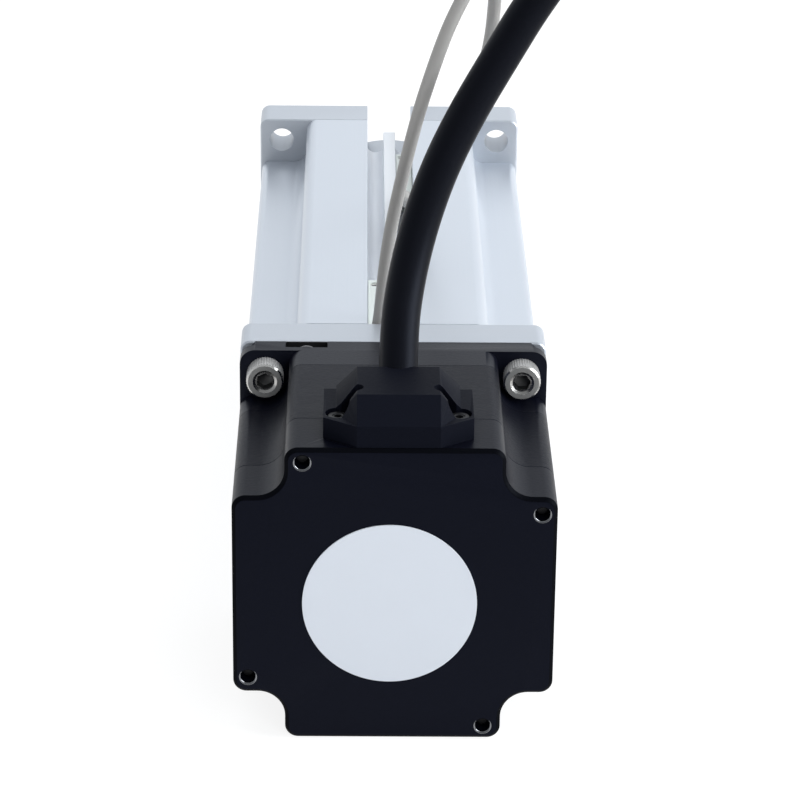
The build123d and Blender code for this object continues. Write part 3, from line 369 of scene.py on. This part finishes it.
# The CAD pieces that each material is on
FINISHED_PIECES = {
    "motor_black": ("motor_rear_cap",),
    "bell_black": ("front_bell",),
    "stack_black": ("stator_stack",),
    "moulded_black": ("connector_cover", "terminal_block"),
    "label_film": ("label_disc",),
    "plate_silver": ("rear_flange_plate", "front_plate"),
    "extruded_silver": ("body_extrusion",),
    "turned_aluminium": ("bearing_housing", "nut_carrier", "coupling_motor_hub", "coupling_screw_hub"),
    "stainless": ("motor_mount_screws", "flange_plate_screws", "front_plate_screws", "sensor_clamp_screws"),
    "black_oxide": ("motor_tie_screws", "cover_screws"),
    "ground_steel": ("spring_washer", "motor_rear_bearing_outer", "motor_rear_bearing_inner",
                     "motor_front_bearing_outer", "motor_front_bearing_inner", "screw_bearing_outer",
                     "screw_bearing_inner", "bearing_retainer", "lock_nut", "motor_shaft", "ball_screw",
                     "ball_nut", "guide_key"),
    "chromed_rod": ("piston_rod", "rod_tip"),
    "bare_sheets": ("rotor_cores",),
    "sintered_magnet": ("rotor_magnet", "magnet_ring"),
    "enamelled_wire": ("stator_windings",),
    "red_elastomer": ("coupling_spider",),
    "black_elastomer": ("rear_bumper", "front_bumper", "rod_wiper"),
    "bush_polymer": ("rod_bush", "wear_ring"),
    "plug_nylon": ("motor_plug",),
    "sensor_shell": ("sensor_rear", "sensor_front"),
    "cable_jacket": ("motor_cable",),
    "lead_jacket": ("sensor_rear_lead", "sensor_front_lead"),
}
PIECE_FINISH = {node: material for material, nodes in FINISHED_PIECES.items() for node in nodes}


class CYLINDER_OT_finishes(bpy.types.Operator):
    """Make the surface groups and materials, and give each CAD piece its own"""
    bl_idname = "cylinder.finishes"
    bl_label = "Finishes"

    def execute(self, context):
        for make_group in (mottled_tone, fine_grain, drawn_lines, stacked_sheets):
            make_group()
        look = context.scene.cylinder_finishes
        plate = [0.83 * value for value in look.silver]
        cool = (0.70, 0.78, 1.0)
        finish("extruded_silver", look.silver, 0.72, 0.38, *DRAWN)
        finish("plate_silver", plate, 0.64, 0.42, (0.0004, 0.10, 0.08), (0.03, 0.04))
        finish("motor_black", look.black_paint, 0.0, 0.36, *PAINTED, specular=0.11, tint=cool)
        finish("bell_black", look.black_paint, 0.0, 0.36, *PAINTED, specular=0.20, tint=cool)
        # A darker black with almost no gloss for the cap's rear edge: painted shade
        finish("edge_black", (0.0022, 0.0024, 0.0036), 0.0, 0.4, *PAINTED, specular=0.03, tint=cool)
        # Near-black for the thin sheets in the bell's pockets: painted shade
        finish("pocket_black", (0.010, 0.010, 0.011), 0.0, 0.6, PAINTED[0], (0.01, 0.2), specular=0.2)
        finish("stack_black", look.black_paint, 0.0, 0.36, (0.0008, 0.10, 0.08), (0.02, 0.3),
               ("stacked_sheets", 0.25, 0.0005), specular=0.10, tint=cool)
        finish("moulded_black", look.cover_black, 0.0, 0.55, (0.0007, 0.08, 0.08), (0.015, 0.2),
               specular=0.07, tint=cool)
        finish("cable_jacket", (0.0045, 0.0048, 0.007), 0.0, 0.42, (0.0010, 0.10, 0.06), (0.02, 0.3),
               specular=0.09, tint=cool)
        finish("label_film", look.label, 0.0, 0.45, (0.001, 0.05, 0.02), (0.01, 0.02), coat=0.1)
        finish("sensor_shell", look.sensor_body, 0.0, 0.40, (0.0006, 0.08, 0.05), (0.004, 0.06))
        finish("lead_jacket", look.lead_jacket, 0.0, 0.45, (0.0008, 0.10, 0.06), (0.01, 0.06))
        for name, values in FIXED_FINISHES.items():
            finish(name, *values)
        for node, material in PIECE_FINISH.items():
            put_on(frame["nodes"][node].data, material)
        return {"FINISHED"}


# Pieces

def put_on(mesh, material):
    """The mesh in one material."""
    mesh.materials.clear()
    mesh.materials.append(bpy.data.materials[material])


def second_finish(piece, material, chosen):
    """Another material on the faces that are chosen by their middle and their normal."""
    index = len(piece.data.materials)
    piece.data.materials.append(bpy.data.materials[material])
    for face in piece.data.polygons:
        if chosen(face.center, face.normal):
            face.material_index = index


def body_of_node(node):
    """The moving body that a CAD piece belongs to."""
    for body, nodes in frame["record"]["behaviour"]["bodies"].items():
        if node in nodes:
            return body
    raise RuntimeError(f"no body holds {node}")


def seat_piece(piece, node, *replaced):
    """The piece rides as the CAD node does, and stands for the nodes given."""
    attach(piece, body_of_node(node))
    if replaced:
        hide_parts(*replaced)
    return piece


def new_piece(name, mesh, material):
    """Object of a mesh in one material."""
    piece = bpy.data.objects.new(name, mesh)
    bpy.context.scene.collection.objects.link(piece)
    put_on(mesh, material)
    return piece


def evaluated_mesh(piece):
    """Plain mesh of a curve, or of a piece with its modifiers."""
    bpy.context.view_layer.update()
    return bpy.data.meshes.new_from_object(piece.evaluated_get(bpy.context.evaluated_depsgraph_get()))


def make_plain(piece):
    """The piece's modifiers made real."""
    mesh = evaluated_mesh(piece)
    mesh.name = piece.name
    piece.modifiers.clear()
    piece.data = mesh


def shade_round(mesh):
    """Smooth between the sharp edges."""
    mesh.shade_smooth()
    mesh.set_sharp_from_angle(angle=SHARP_ANGLE)


def closed_shell(piece):
    """Doubles merged, faces turned outwards, and smooth between the sharp edges."""
    work = bmesh.new()
    work.from_mesh(piece.data)
    bmesh.ops.remove_doubles(work, verts=work.verts, dist=1e-6)
    bmesh.ops.recalc_face_normals(work, faces=work.faces)
    work.to_mesh(piece.data)
    work.free()
    shade_round(piece.data)
    return piece


def mid_run(point):
    """True for a point that only divides a straight edge."""
    if len(point.link_edges) != 2 or not point.link_edges[0].is_manifold:
        return False
    one, other = (edge.other_vert(point).co - point.co for edge in point.link_edges)
    return abs(one.angle(other, 0) - math.pi) < 1e-4


def eased_copy(node, edge):
    """Clean copy of a CAD piece whose sharp edges are eased, standing for the node."""
    mesh = frame["nodes"][node].data.copy()
    mesh.name = f"{node}_eased"
    work = bmesh.new()
    work.from_mesh(mesh)
    bmesh.ops.remove_doubles(work, verts=work.verts, dist=2e-6)
    flat = [e for e in work.edges if e.is_manifold and e.calc_face_angle(0) < math.radians(0.3)]
    bmesh.ops.dissolve_edges(work, edges=flat, use_verts=False, use_face_split=False)
    bmesh.ops.dissolve_verts(work, verts=[point for point in work.verts if mid_run(point)])
    work.to_mesh(mesh)
    work.free()
    shade_round(mesh)
    piece = new_piece(mesh.name, mesh, PIECE_FINISH[node])
    ease = piece.modifiers.new("ease", "BEVEL")
    ease.width = edge
    ease.segments = 2
    ease.limit_method = "ANGLE"
    ease.angle_limit = SHARP_ANGLE
    ease.use_clamp_overlap = True
    ease.harden_normals = True
    ease.miter_outer = "MITER_ARC"
    make_plain(piece)
    return seat_piece(piece, node, node)


# Motor, cover, body and sensors

def tie_places():
    """Centres of the motor's four long screws across the axis, in a pinwheel."""
    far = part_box("motor_tie_screws")[1][0] - bpy.context.scene.cylinder_screws.tie_head_radius
    return [(-TIE_NEAR, far), (far, TIE_NEAR), (TIE_NEAR, -far), (-far, -TIE_NEAR)]


def reach(place, centres):
    """Distance across the axis from a place to the nearest centre."""
    return min(math.hypot(place.x - x, place.z - z) for x, z in centres)


def pocket_shade_sheet(bell, joint, quarter):
    """Thin black sheet that closes one pocket of the bell towards the plate: painted shade where the pocket
    lies in shadow.
    """
    gap, thickness, height = 0.00004, 0.0003, 0.0062
    before_plate, from_axis = 0.0002, 0.02688
    size = (TIE_POCKET - gap, thickness, height)
    middle = (-TIE_NEAR, joint - before_plate, from_axis)
    turn = Matrix.Rotation(quarter * math.pi / 2, 4, "Y")
    work = bmesh.new()
    work.from_mesh(bell.data)
    wall = bmesh.ops.create_cube(
        work, size=1, matrix=turn @ Matrix.Translation(middle) @ Matrix.Diagonal((*size, 1)))
    for face in {face for point in wall["verts"] for face in point.link_faces}:
        face.material_index = 1
    work.to_mesh(bell.data)
    work.free()


class CYLINDER_OT_motor(bpy.types.Operator):
    """Rear cap, stack, bell and label with eased edges"""
    bl_idname = "cylinder.motor"
    bl_label = "Motor housing"

    def execute(self, context):
        edge = context.scene.cylinder_finishes.edge_width
        cap = eased_copy("motor_rear_cap", edge)
        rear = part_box("motor_rear_cap")[0][1]
        edge_depth, mouth_depth, mouth_radius = 0.001, 0.0006, 0.0019
        holes = tie_places()

        # Faces that lean rearwards, without the flat rear face: the darker, duller black put on them is
        # painted shade
        def on_shaded_edge(place, normal):
            return place.y < rear + edge_depth and -0.97 < normal.y < -0.1

        # Faces in a hole's mouth that face upwards, without the flat rear face: the bright metal put only on
        # them is a painted highlight
        def in_lit_mouth(place, normal):
            return (reach(place, holes) < mouth_radius and place.y < rear + mouth_depth
                    and abs(normal.y) < 0.995 and normal.z > -0.15)
        second_finish(cap, "edge_black", on_shaded_edge)
        second_finish(cap, "thread_mouth", in_lit_mouth)
        eased_copy("stator_stack", 0.4 * edge)
        bell = eased_copy("front_bell", edge)
        # The bell's second material, for the pocket sheets: painted shade
        bell.data.materials.append(bpy.data.materials["pocket_black"])
        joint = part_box("rear_flange_plate")[0][1]
        for quarter in range(4):
            pocket_shade_sheet(bell, joint, quarter)
        eased_copy("label_disc", 0.2 * edge)
        return {"FINISHED"}


class CYLINDER_OT_cover(bpy.types.Operator):
    """Moulded connector cover with eased edges"""
    bl_idname = "cylinder.cover"
    bl_label = "Connector cover"

    def execute(self, context):
        eased_copy("connector_cover", 0.8 * context.scene.cylinder_finishes.edge_width)
        return {"FINISHED"}


class CYLINDER_OT_cylinder_body(bpy.types.Operator):
    """Extrusion, both plates, rod tip and wiper with eased edges"""
    bl_idname = "cylinder.cylinder_body"
    bl_label = "Cylinder body"

    def execute(self, context):
        edge = context.scene.cylinder_finishes.edge_width
        eased_copy("rear_flange_plate", edge)
        body = eased_copy("body_extrusion", 0.6 * edge)
        half_width, bottom, top = 0.0052, 0.018, 0.0285
        # The slot's faces get a lighter silver than the rest of the extrusion: painted light
        second_finish(body, "groove_silver",
                      lambda place, normal: abs(place.x) < half_width and bottom < place.z < top)
        eased_copy("front_plate", edge)
        eased_copy("rod_tip", 0.6 * edge)
        eased_copy("rod_wiper", 0.6 * edge)
        return {"FINISHED"}


class CYLINDER_OT_sensors(bpy.types.Operator):
    """Slot sensors with eased edges"""
    bl_idname = "cylinder.sensors"
    bl_label = "Slot sensors"

    def execute(self, context):
        fine_edge = 0.00012
        for node in ("sensor_rear", "sensor_front"):
            eased_copy(node, fine_edge)
        return {"FINISHED"}


# Geometry trees

def joined(tree, pieces):
    """The pieces as one geometry."""
    node = tree.nodes.new("GeometryNodeJoinGeometry")
    for piece in pieces:
        tree.links.new(piece, node.inputs[0])
    return node.outputs[0]


def lifted(tree, geometry, height):
    """The geometry moved up by a height."""
    lift = output_of(tree, "ShaderNodeCombineXYZ", {"Z": height})
    return output_of(tree, "GeometryNodeTransform", {"Geometry": geometry, "Translation": lift})


def band(tree, sides, low, high, start, height):
    """Open band of faces between two radii, from start up to start + height."""
    cone = output_of(tree, "GeometryNodeMeshCone", {
        "Vertices": sides, "Radius Bottom": low, "Radius Top": high, "Depth": height},
        "Mesh", fill_type="NONE")
    return lifted(tree, cone, start)


def holed_face(tree, sides, outer, hexagon, height):
    """Flat face between a circle and the hexagon in it."""
    rims = [output_of(tree, "GeometryNodeCurvePrimitiveCircle", {"Resolution": count, "Radius": radius},
                      "Curve") for count, radius in ((sides, outer), (6, hexagon))]
    fill = output_of(tree, "GeometryNodeFillCurve", {"Curve": joined(tree, rims)}, "Mesh", mode="TRIANGLES")
    return lifted(tree, fill, height)


def knurled(tree, geometry, radius, depth):
    """Every second point of the widest rings drawn in."""
    def vector_sum(operation, inputs, output="Vector"):
        return output_of(tree, "ShaderNodeVectorMath", inputs, output, operation=operation)
    place = output_of(tree, "GeometryNodeInputPosition")
    flat = vector_sum("MULTIPLY", {0: place, 1: (1, 1, 0)})
    from_axis = vector_sum("LENGTH", {0: flat}, "Value")
    widest = figure(tree, "GREATER_THAN", from_axis, figure(tree, "MULTIPLY", radius, 0.98))
    second = figure(tree, "MODULO", output_of(tree, "GeometryNodeInputIndex"), 2.0)
    inwards = figure(tree, "MULTIPLY", figure(tree, "MULTIPLY", second, depth), -1.0)
    shift = vector_sum("SCALE", {0: flat, "Scale": inwards})
    return output_of(tree, "GeometryNodeSetPosition", {
        "Geometry": geometry, "Selection": widest, "Offset": shift})


def set_on_points(tree, given, whole, result):
    """The whole on every point, turned, spun at random by up to Spin, realised and given its material."""
    merged = output_of(tree, "GeometryNodeMergeByDistance", {"Geometry": whole, "Distance": 2e-6})
    placed = output_of(tree, "GeometryNodeInstanceOnPoints", {
        "Points": given["Geometry"], "Instance": merged, "Rotation": given["Turn"]})
    angle = output_of(tree, "FunctionNodeRandomValue", {2: 0.0, 3: given["Spin"], "Seed": 7}, 1,
                      data_type="FLOAT")
    about = output_of(tree, "ShaderNodeCombineXYZ", {"Z": angle})
    spun = output_of(tree, "GeometryNodeRotateInstances", {"Instances": placed, "Rotation": about})
    real = output_of(tree, "GeometryNodeRealizeInstances", {0: spun})
    dressed = output_of(tree, "GeometryNodeSetMaterial", {"Geometry": real, "Material": given["Material"]})
    feed(tree, dressed, result["Geometry"])


def socket_screw_tree():
    """A knurled socket head screw on every point: its seat is on the point and its head stands up from it."""
    tree, given, result = new_group("socket_screws", "GeometryNodeTree", [
        ("Geometry", "Geometry", None), ("Head radius", "Float", 0.0035), ("Head height", "Float", 0.004),
        ("Socket", "Float", 0.003), ("Shank radius", "Float", 0.002), ("Shank length", "Float", 0.01),
        ("Ridges", "Int", 44), ("Knurl depth", "Float", 0.03), ("Turn", "Vector", None),
        ("Spin", "Float", 1.0), ("Material", "Material", None)], [("Geometry", "Geometry")])

    def times(value, share):
        return figure(tree, "MULTIPLY", value, share)

    def less(value, other):
        return figure(tree, "SUBTRACT", value, other)

    def plus(value, other):
        return figure(tree, "ADD", value, other)
    radius, height = given["Head radius"], given["Head height"]
    shank, length = given["Shank radius"], given["Shank length"]
    sides = times(given["Ridges"], 2.0)
    rim = times(radius, 0.10)
    under = times(height, 0.02)
    lip_radius = less(radius, rim)
    shoulder = less(height, rim)
    hexagon = figure(tree, "DIVIDE", given["Socket"], math.sqrt(3))
    sink_radius = times(hexagon, 1.36)
    neck_radius = times(hexagon, 1.08)
    sink = times(hexagon, 0.2)
    deep = times(height, 0.5)
    face = less(height, sink)
    floor = less(face, deep)
    point = times(hexagon, 0.45)
    wall = less(shoulder, under)
    rear = times(wall, 0.8)
    barrel = knurled(tree, joined(tree, [
        band(tree, sides, radius, radius, under, rear),
        band(tree, sides, radius, radius, plus(under, rear), less(wall, rear)),
        band(tree, sides, radius, lip_radius, shoulder, rim),
        band(tree, sides, shank, radius, 0.0, under),
    ]), radius, given["Knurl depth"])
    tip = times(shank, 0.25)
    tip_radius = less(shank, tip)
    low = times(length, -1.0)
    whole = joined(tree, [
        barrel,
        band(tree, sides, sink_radius, lip_radius, height, 0.0),
        band(tree, sides, neck_radius, sink_radius, face, sink),
        holed_face(tree, sides, neck_radius, hexagon, face),
        band(tree, 6, hexagon, hexagon, floor, deep),
        band(tree, 6, 0.0, hexagon, less(floor, point), point),
        band(tree, sides, shank, shank, plus(low, tip), less(length, tip)),
        band(tree, sides, tip_radius, shank, low, tip),
        band(tree, sides, 0.0, tip_radius, low, 0.0),
    ])
    set_on_points(tree, given, whole, result)


def contact_tree():
    """A tapered square contact pin on every point."""
    tree, given, result = new_group("plug_contacts", "GeometryNodeTree", [
        ("Geometry", "Geometry", None), ("Pin width", "Float", 0.0006), ("Pin length", "Float", 0.006),
        ("Turn", "Vector", None), ("Spin", "Float", 0.0), ("Material", "Material", None)],
        [("Geometry", "Geometry")])
    corner = figure(tree, "DIVIDE", given["Pin width"], math.sqrt(2))
    tip = figure(tree, "MULTIPLY", corner, 0.5)
    straight = figure(tree, "MULTIPLY", given["Pin length"], 0.85)
    taper = figure(tree, "MULTIPLY", given["Pin length"], 0.15)
    whole = joined(tree, [
        band(tree, 4, 0.0, corner, 0.0, 0.0),
        band(tree, 4, corner, corner, 0.0, straight),
        band(tree, 4, corner, tip, straight, taper),
        band(tree, 4, tip, 0.0, given["Pin length"], 0.0),
    ])
    set_on_points(tree, given, whole, result)


def on_points(name, points, tree, material, values):
    """Plain mesh of a tree's pieces on the given points."""
    mesh = bpy.data.meshes.new(name)
    mesh.from_pydata(points, [], [])
    piece = new_piece(name, mesh, material)
    modifier = piece.modifiers.new("on_points", "NODES")
    modifier.node_group = bpy.data.node_groups[tree]
    inputs = (item for item in modifier.node_group.interface.items_tree if item.in_out == "INPUT")
    sockets = {item.name: item.identifier for item in inputs}
    for label, value in values.items():
        modifier[sockets[label]] = value
    modifier[sockets["Material"]] = bpy.data.materials[material]
    make_plain(piece)
    put_on(piece.data, material)
    for face in piece.data.polygons:
        face.material_index = 0
    return closed_shell(piece)


# Screws

def socket_screws(node, facing, centres, radius, height, socket, shank):
    """Knurled screws in place of a node's plain ones: centres are across the way that they face."""
    low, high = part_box(node)
    if facing == "+z":
        length = high[2] - low[2] - height
        seats = [(x, y, high[2] - height) for x, y in centres]
    else:
        length = high[1] - low[1] - height
        seat = low[1] + height if facing == "-y" else high[1] - height
        seats = [(x, seat, z) for x, z in centres]
    knurl = bpy.context.scene.cylinder_screws
    piece = on_points(f"{node}_knurled", seats, "socket_screws", PIECE_FINISH[node], {
        "Head radius": radius, "Head height": height, "Socket": socket, "Shank radius": shank,
        "Shank length": length, "Ridges": knurl.knurl_ridges, "Knurl depth": knurl.knurl_depth,
        "Turn": TURNS[facing], "Spin": 1.0})
    # Distances from a head's axis: its knurled side, the ring on its top with painted light, its socket with
    # painted shade and its rim, worn and with a painted highlight
    side, ring, hollow, worn = (share * radius for share in (0.93, 0.6, 0.5, 0.85))
    if PIECE_FINISH[node] == "stainless":
        second_finish(piece, "knurled_steel",
                      lambda place, normal: reach(place, centres) > side and abs(normal.y) < 0.3)
        # The ring of each head's rear face gets a diffuse grey whose level stands in for light on it: painted
        # light
        second_finish(piece, "worn_face",
                      lambda place, normal: reach(place, centres) > ring and normal.y < -0.9)
        second_finish(piece, "socket_shade",
                      lambda place, normal: reach(place, centres) < hollow and normal.y > -0.98)
    # A lighter band round the front of each tie head: wear, and also a painted highlight
    if node == "motor_tie_screws":
        tip = high[1] - 0.3 * height
        second_finish(piece, "worn_rim",
                      lambda place, normal: place.y > tip and reach(place, centres) > worn)
    seat_piece(piece, node, node)


def square_of(node):
    """Centres of four screws on a square about the axis."""
    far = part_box(node)[1][0] - PLAIN_HEAD_RADIUS
    return [(x, z) for x in (-far, far) for z in (-far, far)]


class CYLINDER_OT_screws(bpy.types.Operator):
    """Knurled socket head screws of the plates, the motor and the cover"""
    bl_idname = "cylinder.screws"
    bl_label = "Screws"

    def execute(self, context):
        size = context.scene.cylinder_screws
        socket_screw_tree()
        for node, facing in (("motor_mount_screws", "-y"), ("flange_plate_screws", "-y"),
                             ("front_plate_screws", "+y")):
            socket_screws(node, facing, square_of(node), size.head_radius, size.head_height, size.socket,
                          shank=0.002)
        socket_screws("motor_tie_screws", "+y", tie_places(), size.tie_head_radius, size.tie_head_height,
                      socket=0.002, shank=0.00125)
        low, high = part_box("cover_screws")
        middle = (low[1] + high[1]) / 2
        pair = [(low[0] + size.cover_head_radius, middle), (high[0] - size.cover_head_radius, middle)]
        socket_screws("cover_screws", "+z", pair, size.cover_head_radius, size.cover_head_height,
                      socket=0.0013, shank=0.001)
        return {"FINISHED"}


# Cords

def smooth_line(name, route, diameter, steps, ring_steps):
    """Round cord along the smooth line of a route in millimetres."""
    data = bpy.data.curves.new(name, "CURVE")
    data.dimensions = "3D"
    spline = data.splines.new("NURBS")
    spline.points.add(len(route) - 1)
    for point, place in zip(spline.points, route):
        point.co = (*[value * MM for value in place], 1)
    spline.order_u = 3
    spline.use_endpoint_u = True
    spline.resolution_u = steps
    data.bevel_depth = diameter / 2
    data.bevel_resolution = ring_steps
    data.use_fill_caps = True
    line = bpy.data.objects.new(name, data)
    bpy.context.scene.collection.objects.link(line)
    return line


def cord_curve(name, route, diameter, node):
    """A cord on its smooth line, in place of the CAD tube."""
    piece = smooth_line(name, route, diameter, steps=10, ring_steps=7)
    piece.data.materials.append(bpy.data.materials[PIECE_FINISH[node]])
    seat_piece(piece, node, node)


def core_tube(name, places, diameter, material, node):
    """Short wire along a smooth line, as a plain mesh that rides with a lead."""
    line = smooth_line(f"{name}_line", places, diameter, steps=6, ring_steps=3)
    mesh = evaluated_mesh(line)
    mesh.name = name
    bpy.data.objects.remove(line)
    return seat_piece(closed_shell(new_piece(name, mesh, material)), node)


def stripped_cores(node, end, way, diameter):
    """Two cores with tinned tips at a lead's bare end, spread a little on the floor."""
    pieces = []
    for colour, side in (("brown", -1), ("blue", 1)):
        for part, run, width, material in (("core", CORE_RUN, diameter, f"core_{colour}"),
                                           ("tip", TIP_RUN, 0.6 * diameter, "tinned_wire")):
            line = [(end[0] + aside * side, end[1] + along * way, end[2] + up) for aside, along, up in run]
            pieces.append(core_tube(f"{node}_{part}_{colour}", line, width, material, node))
    return pieces


def plug_contacts():
    """Two rows of contact pins on the floor of the plug's cavity."""
    contact_tree()
    cavity_depth, middle_height, column_step, row_step = 0.009, 0.0044, 0.0022, 0.0013
    low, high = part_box("motor_plug")
    middle = (low[0] + high[0]) / 2
    points = [(middle + column_step * column, low[1] + cavity_depth, low[2] + middle_height + row_step * row)
              for column in (-2, -1, 0, 1, 2) for row in (-1, 1)]
    piece = on_points("motor_plug_contacts", points, "plug_contacts", "contact_tin",
                      {"Pin width": 0.0007, "Pin length": 0.0065, "Turn": TURNS["-y"], "Spin": 0.0})
    return seat_piece(piece, "motor_plug")


class CYLINDER_OT_cords(bpy.types.Operator):
    """Motor cable with its plug, and sensor leads with their bare cores, on their smooth lines"""
    bl_idname = "cylinder.cords"
    bl_label = "Cable and leads"

    def execute(self, context):
        cords = context.scene.cylinder_cords
        contacts = plug_contacts()
        rear_cores = stripped_cores("sensor_rear_lead", LEAD_REAR_ROUTE[-1], 1, cords.core_diameter)
        front_cores = stripped_cores("sensor_front_lead", LEAD_FRONT_ROUTE[-1], -1, cords.core_diameter)
        cord_curve("motor_cable_jacket", CABLE_ROUTE, cords.cable_diameter,
                   "motor_cable")
        cord_curve("sensor_rear_jacket", LEAD_REAR_ROUTE, cords.lead_diameter,
                   "sensor_rear_lead")
        cord_curve("sensor_front_jacket", LEAD_FRONT_ROUTE, cords.lead_diameter,
                   "sensor_front_lead")
        return {"FINISHED"}


# Stage

def area_lamp(name, place, target, size, power, in_gloss=True):
    """Rectangular lamp that looks at its target."""
    data = bpy.data.lights.new(name, "AREA")
    data.shape = "RECTANGLE"
    data.size, data.size_y = size
    data.energy = power
    data.color = COOL_LIGHT
    lamp = bpy.data.objects.new(name, data)
    bpy.context.scene.collection.objects.link(lamp)
    lamp.location = place
    lamp.rotation_euler = (Vector(target) - Vector(place)).to_track_quat("-Z", "Y").to_euler()
    lamp.visible_glossy = in_gloss


def by_depth(tree, place, near, far, low, high):
    """Value that grows from low to high between two places along Y."""
    along = output_of(tree, "ShaderNodeSeparateXYZ", {0: place}, "Y")
    return output_of(tree, "ShaderNodeMapRange", {
        "Value": along, "From Min": near, "From Max": far, "To Min": low, "To Max": high}, "Result")


def mixed(tree, share, first, second):
    """Two shaders mixed by a share of the second."""
    return output_of(tree, "ShaderNodeMixShader", {0: share, 1: first, 2: second})


def floor_finish():
    """White to the camera, dimmer in reflections towards the near side, with the object's soft shadow."""
    material = bpy.data.materials.new("studio_floor")
    tree, surface = bare_tree(material, "ShaderNodeOutputMaterial")
    matt = output_of(tree, "ShaderNodeBsdfDiffuse", {"Color": (0.75, 0.75, 0.76, 1)})
    shaded = output_of(tree, "ShaderNodeBsdfDiffuse", {"Color": (0.24, 0.24, 0.24, 1)})
    place = output_of(tree, "ShaderNodeTexCoord", output="Object")
    white = 0.86
    dimmer = by_depth(tree, place, near=-0.7, far=0.1, low=0.3, high=white)
    glow, dimmed = (output_of(tree, "ShaderNodeEmission", {"Color": (1, 1, 1, 1), "Strength": strength})
                    for strength in (white, dimmer))
    seen, reflected = (output_of(tree, "ShaderNodeAddShader", {0: light, 1: shaded})
                       for light in (glow, dimmed))
    rays = tree.nodes.new("ShaderNodeLightPath").outputs
    in_gloss = mixed(tree, rays["Is Glossy Ray"], matt, reflected)
    feed(tree, mixed(tree, rays["Is Camera Ray"], in_gloss, seen), surface)
    return material


def room_light(level):
    """Even light all round, white to the camera, and dimmer in reflections towards the near side."""
    world = bpy.data.worlds.new("studio_room")
    bpy.context.scene.world = world
    tree, surface = bare_tree(world, "ShaderNodeOutputWorld")
    ways = output_of(tree, "ShaderNodeTexCoord", output="Generated")
    dimmer = by_depth(tree, ways, near=-0.6, far=0.3, low=0.25, high=1.0)
    room, backdrop, reflected = (
        output_of(tree, "ShaderNodeBackground", {"Color": (*colour, 1), "Strength": strength})
        for colour, strength in ((COOL_LIGHT, level), ((1, 1, 1), 1.0), (COOL_LIGHT, dimmer)))
    rays = tree.nodes.new("ShaderNodeLightPath").outputs
    seen = figure(tree, "MAXIMUM", rays["Is Camera Ray"], rays["Is Transmission Ray"])
    in_gloss = mixed(tree, rays["Is Glossy Ray"], room, reflected)
    feed(tree, mixed(tree, seen, in_gloss, backdrop), surface)


def photo_camera():
    """The camera as it was fitted to the photograph."""
    data = bpy.data.cameras.new("photo_camera")
    data.sensor_width = SENSOR_WIDTH
    data.lens = FOCAL_PIXELS / PHOTO_WIDTH * SENSOR_WIDTH
    data.clip_start = 0.01
    data.clip_end = 20
    camera = bpy.data.objects.new("photo_camera", data)
    bpy.context.scene.collection.objects.link(camera)
    yaw, pitch, roll = CAMERA_TURN
    ahead = Vector((math.sin(yaw) * math.cos(pitch), math.cos(yaw) * math.cos(pitch), -math.sin(pitch)))
    level = Vector((math.cos(yaw), -math.sin(yaw), 0))
    upright = level.cross(ahead)
    right = math.cos(roll) * level + math.sin(roll) * upright
    up = -math.sin(roll) * level + math.cos(roll) * upright
    rows = zip(right, up, -ahead, CAMERA_PLACE)
    camera.matrix_world = Matrix((*rows, (0, 0, 0, 1)))
    bpy.context.scene.camera = camera


class CYLINDER_OT_stage(bpy.types.Operator):
    """Floor, lamps, room light and camera"""
    bl_idname = "cylinder.stage"
    bl_label = "Stage"

    def execute(self, context):
        light = context.scene.cylinder_stage
        mesh = bpy.data.meshes.new("studio_floor")
        corners = [(FLOOR_REACH * x, FLOOR_REACH * y, FLOOR_Z)
                   for x, y in ((-1, -1), (1, -1), (1, 1), (-1, 1))]
        mesh.from_pydata(corners, [], [(0, 1, 2, 3)])
        floor = bpy.data.objects.new("studio_floor", mesh)
        context.scene.collection.objects.link(floor)
        mesh.materials.append(floor_finish())
        area_lamp("overhead_softbox", (0.0, 0.25, 1.1), (0, -0.1, 0), (1.2, 1.2), light.overhead_power,
                  in_gloss=False)
        area_lamp("right_softbox", (1.0, -0.3, 0.45), (0, -0.1, 0), (0.7, 0.8), light.right_power)
        area_lamp("front_softbox", (0.5, -1.3, 0.7), (0, -0.15, 0), (0.8, 0.8), light.front_power,
                  in_gloss=False)
        room_light(light.room_level)
        photo_camera()
        context.scene.view_settings.view_transform = "Standard"
        return {"FINISHED"}


class CYLINDER_PT_panel(bpy.types.Panel):
    """Sizes, colours and steps of the dressing"""
    bl_idname = "CYLINDER_PT_panel"
    bl_label = "Electric cylinder"
    bl_space_type = "VIEW_3D"
    bl_region_type = "UI"
    bl_category = "Cylinder"

    def draw(self, context):
        for group in SETTINGS:
            settings = getattr(context.scene, group)
            for prop in settings.bl_rna.properties:
                if prop.identifier not in {"rna_type", "name"}:
                    self.layout.prop(settings, prop.identifier)
        for step in STEPS:
            self.layout.operator(step)


SETTINGS = {
    "cylinder_finishes": CylinderFinishes,
    "cylinder_screws": CylinderScrews,
    "cylinder_cords": CylinderCords,
    "cylinder_stage": CylinderStage,
}
OPERATORS = (
    CYLINDER_OT_finishes, CYLINDER_OT_cords, CYLINDER_OT_motor, CYLINDER_OT_cover, CYLINDER_OT_cylinder_body,
    CYLINDER_OT_screws, CYLINDER_OT_sensors, CYLINDER_OT_stage,
)
STEPS = tuple(operator.bl_idname for operator in OPERATORS)


def register():
    for group in SETTINGS.values():
        bpy.utils.register_class(group)
    for operator in OPERATORS:
        bpy.utils.register_class(operator)
    bpy.utils.register_class(CYLINDER_PT_panel)
    for name, group in SETTINGS.items():
        setattr(bpy.types.Scene, name, PointerProperty(type=group))


def unregister():
    for name in SETTINGS:
        delattr(bpy.types.Scene, name)
    bpy.utils.unregister_class(CYLINDER_PT_panel)
    for operator in reversed(OPERATORS):
        bpy.utils.unregister_class(operator)
    for group in SETTINGS.values():
        bpy.utils.unregister_class(group)


def main():
    register()
    for step in STEPS:
        area, name = step.split(".")
        getattr(getattr(bpy.ops, area), name)()


if __name__ == "__main__":
    main()
